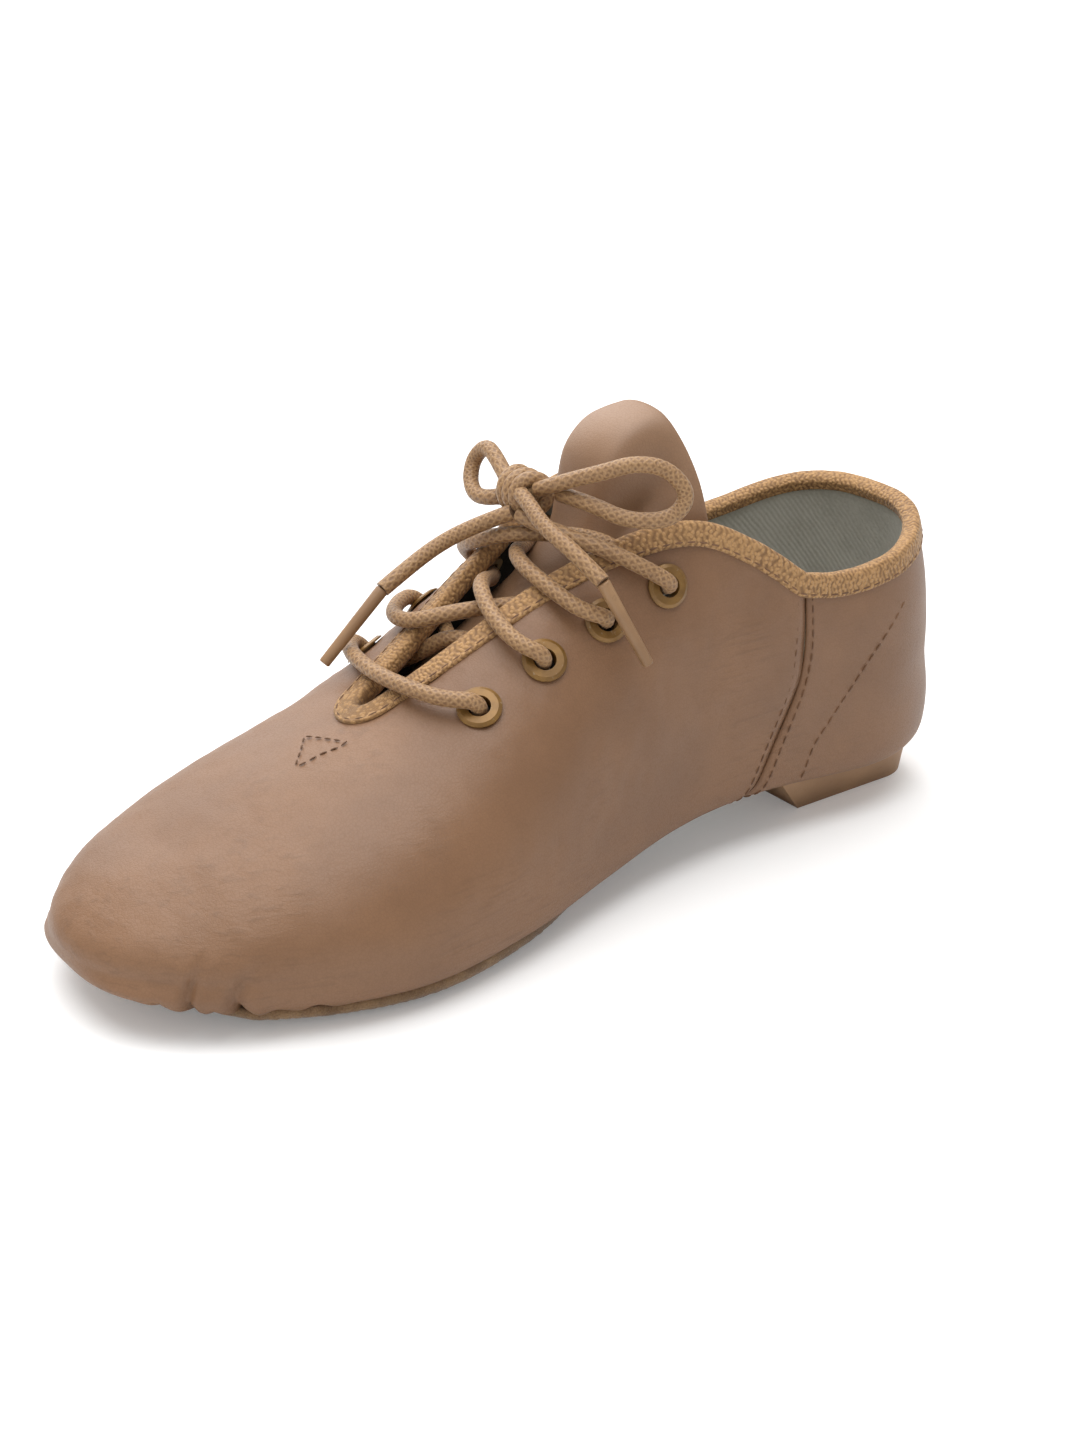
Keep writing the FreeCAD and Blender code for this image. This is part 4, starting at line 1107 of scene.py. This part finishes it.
# Stitches: one is modelled and the rest are copies
stitchSetup = {
    "length": 2.2, "gap": 0.6, "radius": 0.2, "seamPitch": 2.6, "markPitch": 2.2,
    "seamLevel": 0.05, "counterLevel": 0.12, "markLevel": 0.42,
    "seamStart": 0.05, "seamEnd": 0.93,
}


def stitchTemplate():
    bpy.ops.mesh.primitive_uv_sphere_add(segments=8, ring_count=6, radius=1)
    template = bpy.context.object
    for vertex in template.data.vertices:
        c = vertex.co
        # a short bar with its ends pulled into the leather
        dip = 0.5 * abs(c.x) ** 3
        vertex.co = Vector((c.x * 0.5 * stitchSetup["length"], c.y * stitchSetup["radius"],
                            c.z * stitchSetup["radius"] * 0.9 - dip * stitchSetup["radius"])) * metre
    return template


def stitchRow(name, path, level, pitch=stitchSetup["length"] + stitchSetup["gap"], body=None):
    # path: pairs of point and normal in millimetres; without a body the row's placement is baked into
    # its mesh
    lengths = [0.0]
    for (a, _), (b, _) in zip(path, path[1:]):
        lengths.append(lengths[-1] + (b - a).length)
    count = max(int(lengths[-1] / pitch), 1)
    shrink = (pitch - stitchSetup["gap"]) / stitchSetup["length"]
    template = stitchTemplate()
    copies = []
    for k in range(count):
        want = (k + 0.5) * lengths[-1] / count
        i = 0
        while i < len(lengths) - 2 and lengths[i + 1] < want:
            i += 1
        share = (want - lengths[i]) / max(lengths[i + 1] - lengths[i], 1e-6)
        spot = path[i][0].lerp(path[i + 1][0], share)
        normal = path[i][1].lerp(path[i + 1][1], share).normalized()
        along = (path[i + 1][0] - path[i][0]).normalized()
        side = normal.cross(along).normalized()
        along = side.cross(normal)
        turned = Matrix((along, side, normal)).transposed()
        copy = template.copy()
        copy.data = template.data.copy()
        bpy.context.collection.objects.link(copy)
        for vertex in copy.data.vertices:
            shorter = Vector((vertex.co.x * shrink, vertex.co.y, vertex.co.z))
            vertex.co = place(spot + normal * level) + turned @ shorter
        copies.append(copy)
    deselect()
    bpy.data.objects.remove(template)
    for copy in copies:
        copy.select_set(True)
    bpy.context.view_layer.objects.active = copies[0]
    bpy.ops.object.join()
    row = bpy.context.object
    row.name = name
    bpy.ops.object.shade_smooth()
    dress(row, "thread", body)
    if not body:
        flex(row)


def edgeRow(depth):
    spots = [skinPoint(edge + inwards * depth) for edge, _, inwards in edgeFrames]
    return [(p, lastNormal(p)) for p in spots]


def columnRow(grid, share):
    column = grid[round(share * (len(grid) - 1))]
    top = len(column) - 1
    return column[round(stitchSetup["seamStart"] * top):round(stitchSetup["seamEnd"] * top) + 1]


stitchRow("tapeStitches", edgeRow(bindingSetup["stitchAt"]), bindingSetup["stitchLevel"])
seamRows = [
    # name, piece, share along it
    ("nearSeamStitchFront", frontGrid, 0.0046), ("farSeamStitchFront", frontGrid, 0.9954),
    ("nearSeamStitchBack", backGrid, 0.0145), ("farSeamStitchBack", backGrid, 0.9855),
]
for name, grid, share in seamRows:
    stitchRow(name, columnRow(grid, share), stitchSetup["seamLevel"], stitchSetup["seamPitch"])
# the counter's row, down each side of the heel
counterPath = [(28.9, 185.6, 49.6), (30, 177.9, 41.3), (29.4, 170.4, 32.5), (28.8, 165.6, 26.4),
               (27.6, 161.3, 21.2), (24.4, 158.9, 15.9)]


def skinPath(spots, steps):
    # a smooth line on the skin through the spots
    index = list(range(len(spots)))
    path = []
    rules = [([q[axis] for q in spots], slopesOf(index, [q[axis] for q in spots])) for axis in range(3)]
    for k in range((len(spots) - 1) * steps + 1):
        p = skinPoint(Vector([hermite(index, v, m, k / steps) for v, m in rules]))
        path.append((p, lastNormal(p)))
    return path


for word, side in (("near", 1), ("far", -1)):
    spots = [(side * x, y, z) for x, y, z in counterPath]
    stitchRow(word + "CounterStitch", skinPath(spots, 10), stitchSetup["counterLevel"],
              stitchSetup["seamPitch"], "rear")
# a small stitched diamond below the throat
vampMark = [(-2.2, 54.3, 40.4), (2.5, 56.3, 41.2), (7, 57.7, 41.5), (5.6, 53.2, 40),
            (4.3, 48.7, 38.3), (1.0, 51.5, 39.5), (-2.2, 54.3, 40.4)]
stitchRow("vampMarkStitch", skinPath(vampMark, 4), stitchSetup["markLevel"],
          stitchSetup["markPitch"], "forefoot")
print("stitches made")

# The CAD pieces that stay, each with its own finish
cadFinishes = {
    "tape": ["near_eyelet_stay", "far_eyelet_stay", "near_seam_tape", "far_seam_tape"],
    "board": ["forefoot_insole", "heel_insole", "heel_counter"],
    "felt": ["forefoot_filler"],
    "steel": ["heel_tacks"],
    "enamel": [name for name, _, _ in eyeletSpots],
}
for finish, names in cadFinishes.items():
    for name in names:
        node = bpy.data.objects[name]
        for holder in node.material_slots:
            holder.material = materials[finish]
print("CAD pieces dressed")
